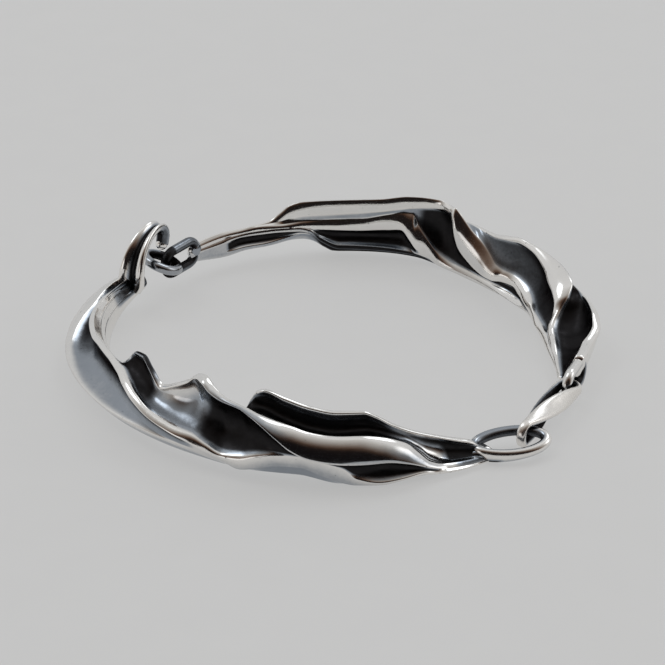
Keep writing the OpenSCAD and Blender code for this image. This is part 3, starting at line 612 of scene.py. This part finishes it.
def sections(bands, core, soot, stain_and_shade, angles):
    """Closed sections at all stations, and how dark each point is: an array [station, point, 3]."""
    belly = table_point(core, angles, 1)
    foot = table_point(core, angles, 3)
    first = table_point(bands[0], angles, 1)
    last = table_point(bands[-1], angles, 3)
    low = bend(belly, foot, LOW_BEND)
    high = bend(belly, first, HIGH_BEND)
    under = bend(last, foot, UNDER_BEND)
    clean = np.zeros(len(angles))
    fade = np.linspace(*BELLY_FADE, CORE_STEPS)
    # The foot and the arc from it up to the belly get painted shade toward the floor
    run = [(foot, clean + PAINTED_FOOT_SHADE)]
    run += [(p, clean + PAINTED_FOOT_SHADE * f) for p, f in zip(arc(foot, low, belly, CORE_STEPS), fade)]
    run += [(belly, clean)]
    run += [(p, clean) for p in arc(belly, high, first, CORE_STEPS)]
    for i, band in enumerate(bands):
        a = table_point(band, angles, 1)
        b = table_point(band, angles, 3)
        for k in range(BAND_STEPS + 1):
            t = k / BAND_STEPS
            crown = BAND_BULGE * 4 * t * (1 - t)
            tint = (1 - t * t) * read(stain_and_shade[i], angles, 1) + t * t * read(stain_and_shade[i], angles, 2)
            if k == BAND_STEPS and i < len(bands) - 1:
                tint = tint / EDGE_WEAR
            run.append((a + t * (b - a) + crown * left_of(b - a), tint))
        if i == len(bands) - 1:
            continue
        dip = read(band, angles, 5)
        after = table_point(bands[i + 1], angles, 1)
        wide = np.linalg.norm(after - b, axis=1)
        flat = np.minimum(read(stain_and_shade[i], angles, 2), read(stain_and_shade[i + 1], angles, 1))
        for k in range(GROOVE_STEPS):
            t = 0.5 - 0.5 * math.cos(math.pi * (k + 1) / (GROOVE_STEPS + 1))
            depth = (4 * t * (1 - t)) ** GROOVE_FORM
            place = b + t * (after - b) - (dip * depth)[:, None] * left_of(after - b)
            near = (wide * min(t, 1 - t) - SOOT_STARTS) / (SOOT_FULL - SOOT_STARTS)
            upper = smooth(UPPER_START - UPPER_FALL * t)
            level = upper * read(soot[i], angles, 1) + (1 - upper) * read(soot[i], angles, 2)
            level = level * smooth(near)
            run.append((place, flat + (level - flat) * smooth((dip - DIP_STARTS) / DIP_RANGE)))
    # The arc from the last band down to the foot fades from the band's edge into the foot's painted
    # shade
    edge = read(stain_and_shade[-1], angles, 2)
    fade = np.linspace(*LAST_FADE, CORE_STEPS)
    for p, f in zip(arc(last, under, foot, CORE_STEPS), fade):
        run.append((p, edge * f + PAINTED_FOOT_SHADE * (1 - f)))
    return np.stack([np.column_stack([p, d]) for p, d in run], 1)


def evened(rings, rounds):
    """Rounds off the creases along each section a little."""
    for _ in range(rounds):
        rings = 0.25 * np.roll(rings, 1, 1) + 0.5 * rings + 0.25 * np.roll(rings, -1, 1)
    return rings


# Places and directions


def on_oval(angle):
    return np.stack(
        [RING_LEN / 2 * np.cos(angle), RING_WIDE / 2 * np.sin(angle), np.zeros_like(angle)], -1
    )


def outward(angle):
    n = np.stack([np.cos(angle) / RING_LEN, np.sin(angle) / RING_WIDE, np.zeros_like(angle)], -1)
    return n / np.linalg.norm(n, axis=-1, keepdims=True)


def at_ring(degrees, out, up):
    angle = np.radians(float(degrees))
    return on_oval(angle) + out * outward(angle) + up * UP


def heading(degrees):
    a = math.radians(degrees)
    return np.array([math.cos(a), math.sin(a), 0.0])


def leaning(level, degrees):
    a = math.radians(degrees)
    return math.cos(a) * level + math.sin(a) * UP


def unit(v):
    return v / np.linalg.norm(v)


def square_to(v, way):
    return unit(v - v.dot(way) * way)


def turned_about(v, axis, degrees):
    a = math.radians(degrees)
    return v * math.cos(a) + np.cross(axis, v) * math.sin(a)


def on_eye(at, way, across, long, wide, degrees):
    a = math.radians(degrees)
    return at + long / 2 * math.cos(a) * way + wide / 2 * math.sin(a) * across


def through(points, steps, closed):
    """A smooth curve through the points, in finer steps."""
    p = np.array(points, dtype=float)
    n = len(p)
    out = []
    for i in range(n if closed else n - 1):
        if closed:
            a, b, c, d = p[i - 1], p[i], p[(i + 1) % n], p[(i + 2) % n]
        else:
            b, c = p[i], p[i + 1]
            a = p[i - 1] if i else 2 * b - c
            d = p[i + 2] if i + 2 < n else 2 * c - b
        for k in range(steps):
            t = k / steps
            out.append(
                0.5 * (2 * b + (c - a) * t + (2 * a - 5 * b + 4 * c - d) * t**2
                       + (3 * b - a - 3 * c + d) * t**3)
            )
    if not closed:
        out.append(p[-1])
    return np.array(out)


# Meshes


def mesh_object(name, points, faces, dark):
    mesh = bpy.data.meshes.new(name)
    mesh.from_pydata([tuple(p) for p in np.asarray(points) * MM], [], [tuple(f) for f in faces])
    layer = mesh.attributes.new("dark", "FLOAT", "POINT")
    layer.data.foreach_set("value", np.asarray(dark, dtype=np.float32))
    mesh.validate()
    mesh.update()
    mesh.shade_smooth()
    piece = bpy.data.objects.new(name, mesh)
    bpy.context.scene.collection.objects.link(piece)
    return piece


def stack_faces(side, count):
    """Faces of a stack of closed sections, with an apex before and after them."""
    faces = []
    for s in range(count - 1):
        for k in range(side):
            m = (k + 1) % side
            a, b = s * side + k, s * side + m
            faces.append((a, b, b + side, a + side))
    top = (count - 1) * side
    for k in range(side):
        m = (k + 1) % side
        faces.append((side * count, m, k))
        faces.append((side * count + 1, top + k, top + m))
    return faces


def leaves(name, bands, core, soot, stain_and_shade, start, end, mirrored):
    """One half: the loft of its sections along the oval, with a rounded nose at each end."""
    count = int((end - start) * STATIONS_PER_DEGREE)
    degrees = np.linspace(start, end, count)
    rings = evened(sections(bands, core, soot, stain_and_shade, degrees), CREASE_ROUNDS)
    way = -1 if mirrored else 1
    angles = np.radians(degrees)
    base, out = on_oval(angles), outward(angles)
    places = (
        base[:, None, :]
        + way * rings[:, :, 0, None] * out[:, None, :]
        + rings[:, :, 1, None] * UP
    )
    dark = rings[:, :, 2]
    noses = []
    for s, sign in ((0, -1), (count - 1, 1)):
        centre = places[s].mean(0)
        ahead = np.cross(UP, out[s]) * sign
        turns = [math.pi / 2 * (k + 1) / (NOSE_STEPS + 1) for k in range(NOSE_STEPS)]
        caps = [
            centre + math.cos(t) * (places[s] - centre) + NOSE_LEN * math.sin(t) * ahead
            for t in turns
        ]
        noses.append((caps, centre + NOSE_LEN * ahead))
    stack = noses[0][0][::-1] + list(places) + noses[1][0]
    shades = [dark[0]] * NOSE_STEPS + list(dark) + [dark[-1]] * NOSE_STEPS
    points = np.concatenate(stack + [[noses[0][1], noses[1][1]]])
    shade = np.concatenate(shades + [[0.0, 0.0]])
    faces = stack_faces(places.shape[1], len(stack))
    if not mirrored:
        faces = [f[::-1] for f in faces]
    return mesh_object(name, points, faces, shade)


def oval_route(long, wide, wire, count=96, root=0):
    """An oval loop of wire that may be taller where one of its arms starts."""
    route = []
    for k in range(count):
        t = 2 * math.pi * k / count
        near = ((1 - math.cos(t)) / 2) ** 1.5 * (1 - math.sin(t)) / 2
        route.append((long / 2 * math.cos(t), wide / 2 * math.sin(t), wire + root * near))
    return route


def link_route(long, high, wide, end_wide, turn_steps=28, side_steps=26):
    """A long link with straight sides and a strap that is widest halfway."""
    straight = long / 2 - high / 2
    half = []
    for k in range(turn_steps + 1):
        t = math.pi * (k / turn_steps - 0.5)
        half.append((straight + high / 2 * math.cos(t), high / 2 * math.sin(t), end_wide))
    for k in range(1, side_steps):
        t = 1 - 2 * k / side_steps
        half.append((t * straight, high / 2, wide - (wide - end_wide) * t * t))
    return half + [(-x, -y, w) for x, y, w in half]


def wire_loop(
    name, centre, along, across, route, thick,
    twist=0, sides=20, square=2.0, soot=(0.0, 0.8), patches=(), shaded_below=(),
):
    """A closed loop of wire or strap, twisted about its length.

    Square rounds its section, and 2 is an ellipse. Soot is how dark its outer and inner sides are.
    Patches are stretches that are darker all round, and shaded_below are stretches with painted shade
    on the lower side:
    [at, reach, level], at and reach being shares of the way round.
    """
    count = len(route)
    reach = max(r[0] for r in route)
    lean = [turned_about(across, along, twist / 2 * r[0] / reach) for r in route]
    places = [centre + r[0] * along + r[1] * lean[i] for i, r in enumerate(route)]
    points, turns, faces = [], [], []
    for i in range(count):
        normal = np.cross(along, lean[i])
        side = unit(np.cross(places[(i + 1) % count] - places[i - 1], normal))
        for k in range(sides):
            t = 2 * math.pi * k / sides
            c, s = math.cos(t), math.sin(t)
            grow = (abs(c) ** square + abs(s) ** square) ** (-1 / square)
            points.append(
                places[i] + thick / 2 * grow * c * side + route[i][2] / 2 * grow * s * normal
            )
            turns.append((c, s))
    for i in range(count):
        j = (i + 1) % count
        for k in range(sides):
            m = (k + 1) % sides
            faces.append((i * sides + k, i * sides + m, j * sides + m, j * sides + k))
    out_in, up_down = np.array(turns).T
    inner = smooth(INNER_START - INNER_SLOPE * out_in)
    # Painted shade on the wire's lower side, for the stretches in shaded_below
    lower = smooth(LOWER_SHADE_START - LOWER_SHADE_SLOPE * up_down)
    shade = soot[0] + (soot[1] - soot[0]) * inner
    way_round = np.repeat(np.arange(count) / count, sides)
    for stretches, where in ((patches, 1), (shaded_below, lower)):
        for at, reach, level in stretches:
            off = np.abs((way_round - at + 0.5) % 1 - 0.5)
            fade = smooth((reach - off) / STRETCH_FADE + 0.5)
            shade = np.maximum(shade, level * where * fade)
    return mesh_object(name, points, faces, shade)


def hook(name):
    """The folded blade of the hook, and the place of its tip."""
    rows = through(HOOK_ROWS, ARCH_STEPS, False)
    fold = evened(through(HOOK_FOLD, FOLD_STEPS, True)[None], 1)[0]
    places = [hook_foot + HOOK_HIGH * (r[0] * hook_way + r[1] * UP) for r in rows]
    last = len(places) - 1
    points, dark = [], []
    for i in range(last + 1):
        run = unit(places[min(i + 1, last)] - places[max(i - 1, 0)])
        outer = np.cross(run, hook_across)
        tip = TIP_SOOT * smooth((i / last - TIP_FROM) / TIP_GROWS)
        for f in fold:
            points.append(
                places[i] + f[0] * rows[i][2] * HOOK_WIDE * hook_across + f[1] * HOOK_THICK * outer
            )
            if f[1] > UNDER_FROM:
                middle = smooth(FOLD_SOOT - abs(f[0]) / FOLD_REACH)
            else:
                middle = smooth(UNDER_SOOT - abs(f[0]) / UNDER_REACH)
            dark.append(max(middle, tip * smooth(TIP_OUT - f[1])))
    points += [places[0], places[last]]
    dark += [0, 0]
    return mesh_object(name, points, stack_faces(len(fold), last + 1), dark), places[last]


def lump(name, centre, axes, dark=0.0, rings=20, sides=32):
    """A ball stretched along three half axes."""
    points, faces = [], []
    for r in range(1, rings):
        t = math.pi * r / rings
        for k in range(sides):
            a = 2 * math.pi * k / sides
            level = math.sin(t) * (math.cos(a) * axes[0] + math.sin(a) * axes[1])
            points.append(centre + level + math.cos(t) * axes[2])
    points += [centre + axes[2], centre - axes[2]]
    for r in range(rings - 2):
        for k in range(sides):
            m = (k + 1) % sides
            faces.append((r * sides + k, (r + 1) * sides + k, (r + 1) * sides + m, r * sides + m))
    top, bottom = len(points) - 2, len(points) - 1
    for k in range(sides):
        m = (k + 1) % sides
        faces.append((top, k, m))
        faces.append((bottom, (rings - 2) * sides + m, (rings - 2) * sides + k))
    return mesh_object(name, points, faces, [dark] * len(points))


def solder(name, centre, way, up, sizes, dark):
    """A run of solder where an eye meets a half."""
    side = np.cross(way, up)
    return lump(name, centre, (sizes[0] * way, sizes[1] * side, sizes[2] * up), dark)


# Where the eyes, the link, the catch and the hook are, as in the part's source

front_eye_at = np.array([
    FRONT_EYE_PLACE[0] * RING_LEN / 2,
    FRONT_EYE_PLACE[1] * RING_WIDE / 2,
    FRONT_EYE_PLACE[2] * LEAF_HIGH,
])
front_eye_way = leaning(heading(FRONT_EYE_HEADING), FRONT_EYE_CLIMB)
front_eye_across = square_to(
    leaning(heading(FRONT_EYE_HEADING + 90), FRONT_EYE_LEAN), front_eye_way
)
back_eye_at = np.array([
    BACK_EYE_PLACE[0] * RING_LEN / 2,
    BACK_EYE_PLACE[1] * RING_WIDE / 2,
    (BACK_EYE_WIDE + EYE_WIRE) / 2 + BACK_EYE_GAP,
])
back_eye_way = heading(BACK_EYE_HEADING)

link_from = on_eye(
    front_eye_at, front_eye_way, front_eye_across, FRONT_EYE_LEN, FRONT_EYE_WIDE, LINK_GRIP
)
link_to = on_eye(back_eye_at, back_eye_way, UP, BACK_EYE_LEN, BACK_EYE_WIDE, 0)
link_way = unit(link_to - link_from)
link_at = (link_from + link_to - LINK_SLACK * link_way) / 2
link_up = np.cross(unit(np.cross(link_way, UP)), link_way)
link_across = turned_about(link_up, link_way, LINK_TWIST / 2)
link_high = EYE_WIRE + 2 * LINK_PLAY + LINK_THICK
link_long = np.linalg.norm(link_to - link_from) + link_high + LINK_SLACK

left_eye_way = heading(LEFT_EYE_HEADING)
left_eye_at = (
    at_ring(BACK_TO, 0, LEFT_EYE_UP * LEAF_HIGH) + (LEFT_EYE_LEN / 2 - LEFT_EYE_SUNK) * left_eye_way
)
left_eye_wide = EYE_WIRE + 2 * CATCH_PLAY + CATCH_WIRE
catch_reach = LEFT_EYE_LEN / 2 - (EYE_WIRE + CATCH_WIRE) / 2 - CATCH_PLAY
catch_way = leaning(heading(CATCH_HEADING), CATCH_CLIMB)
catch_side = square_to(leaning(heading(CATCH_HEADING + 90), CATCH_LEAN), catch_way)
catch_at = left_eye_at + catch_reach * left_eye_way - CATCH_ROUND / 2 * catch_way

hook_foot = at_ring(HOOK_PLACE[0], HOOK_PLACE[1] * LEAF_DEEP, HOOK_PLACE[2] * LEAF_HIGH)
hook_way = heading(HOOK_HEADING)
hook_across = heading(HOOK_HEADING + 90)


# Materials

# Colours by the dark attribute: smoky grey and black are the oxide's patina in the hollows, and also
# painted shade toward the floor and under the wires and a painted reflection on the long front leaf
POLISHED = (0.92, 0.90, 0.87)
SATIN = (0.90, 0.87, 0.83)
WORN = (0.62, 0.60, 0.58)
SMOKE = (0.34, 0.37, 0.41)
OXIDE_AND_SHADE = (0.022, 0.021, 0.022)
SMOKE_ROUGH = 0.15
# Tint of what clean and blackened silver mirror at a slant
CLEAN_GLINT = (1.0, 1.0, 1.0)
SOOT_GLINT = (0.35, 0.33, 0.32)
# How far each colour and roughness strays, as shares of it
TONE_SPREAD = (0.94, 1.0)
SMOKE_SPREAD = (0.9, 1.1)
SOOT_SPREAD = (0.7, 1.4)
SMEAR_SPREAD = (1.0, 1.5)
HAZE_SPREAD = (0.85, 1.25)
DULL_SPREAD = (0.8, 1.25)
# Noise patterns: [scale a metre, detail]
SWELL_NOISE = (260, 2)
PATCH_NOISE = (330, 4)
SMOKE_NOISE = (500, 5)
SOOT_NOISE = (700, 6)
TONE_NOISE = (900, 5)
DULL_NOISE = (1100, 5)
HAZE_NOISE = (1300, 4)
SMEAR_NOISE = (1500, 4)
SPECK_NOISE = (2600, 3)
NOISE_ROUGH = 0.55
SCRATCH_SCALE = (900, 900, 7000)
# How far noise moves the border between two levels of soot
PATCH_SWAY, SPECK_SWAY = 0.9, 0.5
# Soot at which the metal is fully smoky, and between which it turns black
SMOKE_AT = 0.5
BLACK_FROM, BLACK_AT = 0.5, 0.95
# Specks that are pits, and how dark these are
PIT_FROM, PIT_AT, PIT_DARK = 0.70, 0.74, 0.8
# Heights of the scratches and of the soot's grit beside the swell's, and the height of 1 in metres
SCRATCH_HEIGHT, GRIT_HEIGHT = 0.05, 0.08
BUMP_HEIGHT = 0.0002


def add_node(tree, kind, inputs=(), **values):
    """A new node with its values set, and its inputs as pairs of socket and value."""
    n = tree.nodes.new(kind)
    for key, value in values.items():
        setattr(n, key, value)
    for socket, value in inputs:
        n.inputs[socket].default_value = value
    return n


def silver(name, bright, bright_rough, oxide_rough, grain):
    """Polished silver that turns smoky and then black where the piece's dark attribute rises."""
    mat = bpy.data.materials.new(name)
    mat.use_nodes = True
    tree, links = mat.node_tree, mat.node_tree.links
    shader = tree.nodes["Principled BSDF"]
    shader.inputs["Metallic"].default_value = 1.0

    def noise(scale, detail):
        n = add_node(
            tree, "ShaderNodeTexNoise",
            [("Scale", scale), ("Detail", detail), ("Roughness", NOISE_ROUGH)],
        )
        links.new(coords.outputs["Object"], n.inputs["Vector"])
        return n.outputs["Fac"]

    def math_node(kind, a, b):
        n = add_node(tree, "ShaderNodeMath", operation=kind)
        for socket, value in zip(n.inputs, (a, b)):
            if isinstance(value, (int, float)):
                socket.default_value = value
            else:
                links.new(value, socket)
        return n.outputs[0]

    def swayed(pattern, by):
        return math_node("MULTIPLY", math_node("SUBTRACT", pattern, 0.5), by)

    def ramp(factor, low, high, a, b):
        n = add_node(
            tree, "ShaderNodeMapRange",
            [("From Min", low), ("From Max", high), ("To Min", a), ("To Max", b)],
            interpolation_type="SMOOTHSTEP",
        )
        links.new(factor, n.inputs["Value"])
        return n.outputs["Result"]

    def mix(factor, a, b):
        """Mixes two colours, each a tuple or an output."""
        n = add_node(tree, "ShaderNodeMix", data_type="RGBA")
        links.new(factor, n.inputs[0])
        for socket, value in ((n.inputs[6], a), (n.inputs[7], b)):
            if isinstance(value, tuple):
                socket.default_value = (*value, 1)
            else:
                links.new(value, socket)
        return n.outputs[2]

    def blend(factor, a, b):
        """Mixes two numbers, each an output."""
        n = add_node(tree, "ShaderNodeMix", data_type="FLOAT")
        links.new(factor, n.inputs[0])
        links.new(a, n.inputs[2])
        links.new(b, n.inputs[3])
        return n.outputs[0]

    def strayed(pattern, colour, spread):
        least, most = (tuple(share * c for c in colour) for share in spread)
        return mix(noise(*pattern), least, most)

    coords = add_node(tree, "ShaderNodeTexCoord")
    dark = add_node(tree, "ShaderNodeAttribute", attribute_name="dark").outputs["Fac"]
    specks = noise(*SPECK_NOISE)
    edge = math_node("MULTIPLY", dark, math_node("SUBTRACT", 1.0, dark))
    sway = math_node("ADD", swayed(noise(*PATCH_NOISE), PATCH_SWAY), swayed(specks, SPECK_SWAY))
    level = math_node("ADD", dark, math_node("MULTIPLY", sway, edge))
    smoky = ramp(level, 0.0, SMOKE_AT, 0, 1)
    black = ramp(level, BLACK_FROM, BLACK_AT, 0, 1)
    pits = ramp(specks, PIT_FROM, PIT_AT, 0, PIT_DARK)

    tone = strayed(TONE_NOISE, bright, TONE_SPREAD)
    smoke = strayed(SMOKE_NOISE, SMOKE, SMOKE_SPREAD)
    # The black, soot here, is oxide and also painted shade and painted reflection, as the dark
    # attribute holds both
    soot = strayed(SOOT_NOISE, OXIDE_AND_SHADE, SOOT_SPREAD)
    metal = mix(pits, mix(smoky, tone, smoke), OXIDE_AND_SHADE)
    links.new(mix(black, metal, soot), shader.inputs["Base Color"])
    links.new(mix(black, CLEAN_GLINT, SOOT_GLINT), shader.inputs["Specular Tint"])

    smear = ramp(noise(*SMEAR_NOISE), 0.35, 0.75, *(bright_rough * s for s in SMEAR_SPREAD))
    haze = ramp(noise(*HAZE_NOISE), 0.3, 0.7, *(SMOKE_ROUGH * s for s in HAZE_SPREAD))
    dull = ramp(noise(*DULL_NOISE), 0.3, 0.7, *(oxide_rough * s for s in DULL_SPREAD))
    links.new(blend(black, blend(smoky, smear, haze), dull), shader.inputs["Roughness"])

    # Soft hand-finished undulation, then fine scratches and the grit of the soot
    scratch_map = add_node(tree, "ShaderNodeMapping", [("Scale", SCRATCH_SCALE)])
    links.new(coords.outputs["Object"], scratch_map.inputs["Vector"])
    scratch = add_node(tree, "ShaderNodeTexNoise", [("Scale", 1), ("Detail", 4)])
    links.new(scratch_map.outputs["Vector"], scratch.inputs["Vector"])
    scratches = math_node("MULTIPLY", scratch.outputs["Fac"], SCRATCH_HEIGHT)
    grit = math_node("MULTIPLY", math_node("MULTIPLY", specks, black), GRIT_HEIGHT)
    height = math_node("ADD", math_node("ADD", noise(*SWELL_NOISE), scratches), grit)
    bump = add_node(tree, "ShaderNodeBump", [("Strength", grain), ("Distance", BUMP_HEIGHT)])
    links.new(height, bump.inputs["Height"])
    links.new(bump.outputs["Normal"], shader.inputs["Normal"])
    return mat


leaf_metal = silver("leaf_metal", POLISHED, bright_rough=0.11, oxide_rough=0.40, grain=0.18)
wire_metal = silver("wire_metal", POLISHED, bright_rough=0.15, oxide_rough=0.38, grain=0.25)
link_metal = silver("link_metal", SATIN, bright_rough=0.22, oxide_rough=0.40, grain=0.35)
ring_metal = silver("ring_metal", WORN, bright_rough=0.18, oxide_rough=0.38, grain=0.30)


# Pieces

front = leaves(
    "front_leaves", FRONT_BANDS, FRONT_CORE, FRONT_SOOT, FRONT_STAIN_AND_SHADE, FRONT_FROM, FRONT_TO, False
)
back = leaves("back_leaves", BACK_BANDS, BACK_CORE, BACK_SOOT, BACK_STAIN, BACK_FROM, BACK_TO, True)
front_eye = wire_loop(
    "front_eye", front_eye_at, front_eye_way, front_eye_across,
    oval_route(FRONT_EYE_LEN, FRONT_EYE_WIDE, EYE_WIRE, root=FRONT_EYE_ROOT), EYE_WIRE,
    patches=[(0.26, 0.17, 0.45), (0.50, 0.06, 0.5)],
    # Painted shade under the eye: grey all along its lower side, and black under the near arm by its
    # root
    shaded_below=[(0.5, 0.6, 0.35), (0.60, 0.10, 1.0)],
)
back_eye = wire_loop(
    "back_right_eye", back_eye_at, back_eye_way, UP,
    link_route(BACK_EYE_LEN, BACK_EYE_WIDE, EYE_WIRE, EYE_WIRE), EYE_WIRE, soot=(0.1, 1.0),
)
left_eye = wire_loop(
    "back_left_eye", left_eye_at, left_eye_way, UP,
    link_route(LEFT_EYE_LEN, left_eye_wide, EYE_WIRE, EYE_WIRE), EYE_WIRE, soot=(0.7, 1.0),
    patches=[(0.12, 0.16, 0.9), (0.62, 0.16, 0.3)],
)
link = wire_loop(
    "link_strap", link_at, link_way, link_across,
    link_route(link_long, link_high, LINK_WIDE, LINK_END_WIDE), LINK_THICK, LINK_TWIST,
    sides=28, square=3.0, soot=(0.0, 1.0),
)
catch = wire_loop(
    "catch_loop", catch_at, catch_way, catch_side,
    oval_route(CATCH_ROUND, CATCH_ROUND, CATCH_WIRE), CATCH_WIRE, soot=(0.35, 1.0),
    patches=[(0.0, 0.17, 0.9)],
)
front_solder = solder(
    "front_solder",
    on_eye(
        front_eye_at, front_eye_way, front_eye_across, FRONT_EYE_LEN, FRONT_EYE_WIDE, FRONT_SOLDER_AT
    ) - FRONT_SOLDER_DOWN * UP,
    unit(front_eye_way - FRONT_SOLDER_TURN * front_eye_across), UP, FRONT_SOLDER, dark=0.5,
)
back_solder = solder(
    "back_right_solder",
    back_eye_at - BACK_EYE_LEN / 2 * back_eye_way + (BACK_EYE_WIDE / 2 + SOLDER_SHIFT) * UP,
    back_eye_way, UP, BACK_SOLDER, dark=0.0,
)
left_solder = solder(
    "back_left_solder",
    left_eye_at - (LEFT_EYE_LEN / 2 - SOLDER_SHIFT) * left_eye_way,
    left_eye_way, UP, LEFT_SOLDER, dark=0.45,
)
hook_blade, hook_tip = hook("hook_blade")
hook_end = lump("hook_ball", hook_tip, HOOK_BALL / 2 * np.eye(3))


def dress(piece, metal, slot_name, *nodes):
    piece.data.materials.append(metal)
    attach(piece, "root")
    if nodes:
        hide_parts(*nodes)


dress(front, leaf_metal, "front_silver", "front_half")
dress(front_eye, wire_metal, "front_silver")
dress(front_solder, wire_metal, "front_silver")
dress(back_solder, wire_metal, "back_silver")
dress(left_solder, wire_metal, "back_silver")
dress(hook_blade, leaf_metal, "front_silver")
dress(hook_end, wire_metal, "front_silver")
dress(back, leaf_metal, "back_silver", "back_half")
dress(back_eye, wire_metal, "back_silver")
dress(left_eye, wire_metal, "back_silver")
dress(link, link_metal, "link_silver", "side_link")
dress(catch, ring_metal, "ring_silver", "catch_ring")


# Camera: degrees above the floor, metres from the target, and the lens from its length in pixels

EYE_LEVEL = math.radians(30)
DISTANCE = 0.360
TARGET_Z = 0.00413
SENSOR_MM = 36
FOCAL_PX = 2784
FRAME_PX = 665

camera_data = bpy.data.cameras.new("camera")
camera_data.sensor_width = SENSOR_MM
camera_data.lens = SENSOR_MM * FOCAL_PX / FRAME_PX
camera_data.clip_start = 0.01
camera_data.clip_end = 20
camera = bpy.data.objects.new("camera", camera_data)
camera.location = (0, -DISTANCE * math.cos(EYE_LEVEL), TARGET_Z + DISTANCE * math.sin(EYE_LEVEL))
camera.rotation_euler = (math.pi / 2 - EYE_LEVEL, 0, 0)
bpy.context.scene.collection.objects.link(camera)
bpy.context.scene.camera = camera
bpy.context.scene.view_settings.view_transform = "Standard"


# Stage: a plain pale table top, a hair under the ring

TABLE_HALF = 3
TABLE_DOWN = 0.00002
PAPER_DARK = (0.17, 0.17, 0.169, 1)
PAPER_LIGHT = (0.19, 0.19, 0.189, 1)
PAPER_SCALE = 900
PAPER_ROUGH = 0.75
PAPER_GLOW = (1.0, 1.0, 0.995, 1)
GLOW_STRENGTH = 0.43


def stage_plane(name, half):
    corners = [(-half, -half, 0), (half, -half, 0), (half, half, 0), (-half, half, 0)]
    mesh = bpy.data.meshes.new(name)
    mesh.from_pydata(corners, [], [(0, 1, 2, 3)])
    plane = bpy.data.objects.new(name, mesh)
    bpy.context.scene.collection.objects.link(plane)
    return plane


floor = stage_plane("table_top", TABLE_HALF)
floor.location.z = -TABLE_DOWN
floor_mat = bpy.data.materials.new("table_paper")
floor_mat.use_nodes = True
floor_tree = floor_mat.node_tree
paper = floor_tree.nodes["Principled BSDF"]
paper.inputs["Roughness"].default_value = PAPER_ROUGH
paper.inputs["Emission Color"].default_value = PAPER_GLOW
paper.inputs["Emission Strength"].default_value = GLOW_STRENGTH
paper_noise = add_node(floor_tree, "ShaderNodeTexNoise", [("Scale", PAPER_SCALE)])
paper_mix = add_node(
    floor_tree, "ShaderNodeMix", [(6, PAPER_DARK), (7, PAPER_LIGHT)], data_type="RGBA"
)
floor_tree.links.new(paper_noise.outputs["Fac"], paper_mix.inputs[0])
floor_tree.links.new(paper_mix.outputs[2], paper.inputs["Base Color"])
floor.data.materials.append(floor_mat)


# Light: a bright room above and behind, and a dark warm room on the camera's side

# The room's colour from its near side to its far side: [place from 0 to 1, colour]
ROOM = [
    (0.00, (0.012, 0.010, 0.010)),
    (0.13, (0.014, 0.010, 0.009)),
    (0.18, (0.060, 0.032, 0.020)),
    (0.23, (0.15, 0.108, 0.085)),
    (0.32, (0.31, 0.285, 0.265)),
    (0.44, (0.50, 0.49, 0.475)),
    (0.54, (0.68, 0.68, 0.68)),
    (1.00, (0.56, 0.57, 0.58)),
]
# Round soft lights: [direction, degrees within which it is full, degrees at which it is gone, colour]
LIGHTS = [
    ((-0.5, 0.15, 0.85), 6, 15, (1.8, 1.9, 2.0)),
    ((0.43, 0.48, 0.76), 6, 14, (2.0, 2.1, 2.2)),
    ((0.9, 0.05, 0.5), 6, 18, (1.0, 1.0, 1.0)),
    ((-0.78, -0.62, 0.10), 7, 14, (0.9, 0.9, 0.9)),
]

world = bpy.data.worlds.new("room")
bpy.context.scene.world = world
world.use_nodes = True
sky_tree, sky_links = world.node_tree, world.node_tree.links
sky_tree.nodes.clear()
world_out = add_node(sky_tree, "ShaderNodeOutputWorld")
sky = add_node(sky_tree, "ShaderNodeBackground", [("Strength", 1.0)])
coord = add_node(sky_tree, "ShaderNodeTexCoord")
split = add_node(sky_tree, "ShaderNodeSeparateXYZ")
sky_links.new(coord.outputs["Generated"], split.inputs[0])
depth = add_node(sky_tree, "ShaderNodeMapRange", [("From Min", -1), ("From Max", 1)])
sky_links.new(split.outputs["Y"], depth.inputs["Value"])

room = add_node(sky_tree, "ShaderNodeValToRGB")
stops = room.color_ramp.elements
stops[0].color = (*ROOM[0][1], 1)
stops[1].color = (*ROOM[-1][1], 1)
for place, colour in ROOM[1:-1]:
    stops.new(place).color = (*colour, 1)
sky_links.new(depth.outputs["Result"], room.inputs[0])

total = room.outputs[0]
for way, full, gone, colour in LIGHTS:
    toward = add_node(
        sky_tree, "ShaderNodeVectorMath", [(1, tuple(unit(np.array(way))))], operation="DOT_PRODUCT"
    )
    sky_links.new(coord.outputs["Generated"], toward.inputs[0])
    rim = add_node(
        sky_tree, "ShaderNodeMapRange",
        [("From Min", math.cos(math.radians(gone))), ("From Max", math.cos(math.radians(full)))],
        interpolation_type="SMOOTHSTEP",
    )
    sky_links.new(toward.outputs["Value"], rim.inputs["Value"])
    glow = add_node(
        sky_tree, "ShaderNodeMix", [(7, (*colour, 1))], data_type="RGBA", blend_type="ADD"
    )
    sky_links.new(rim.outputs["Result"], glow.inputs[0])
    sky_links.new(total, glow.inputs[6])
    total = glow.outputs[2]
sky_links.new(total, sky.inputs["Color"])
sky_links.new(sky.outputs[0], world_out.inputs["Surface"])
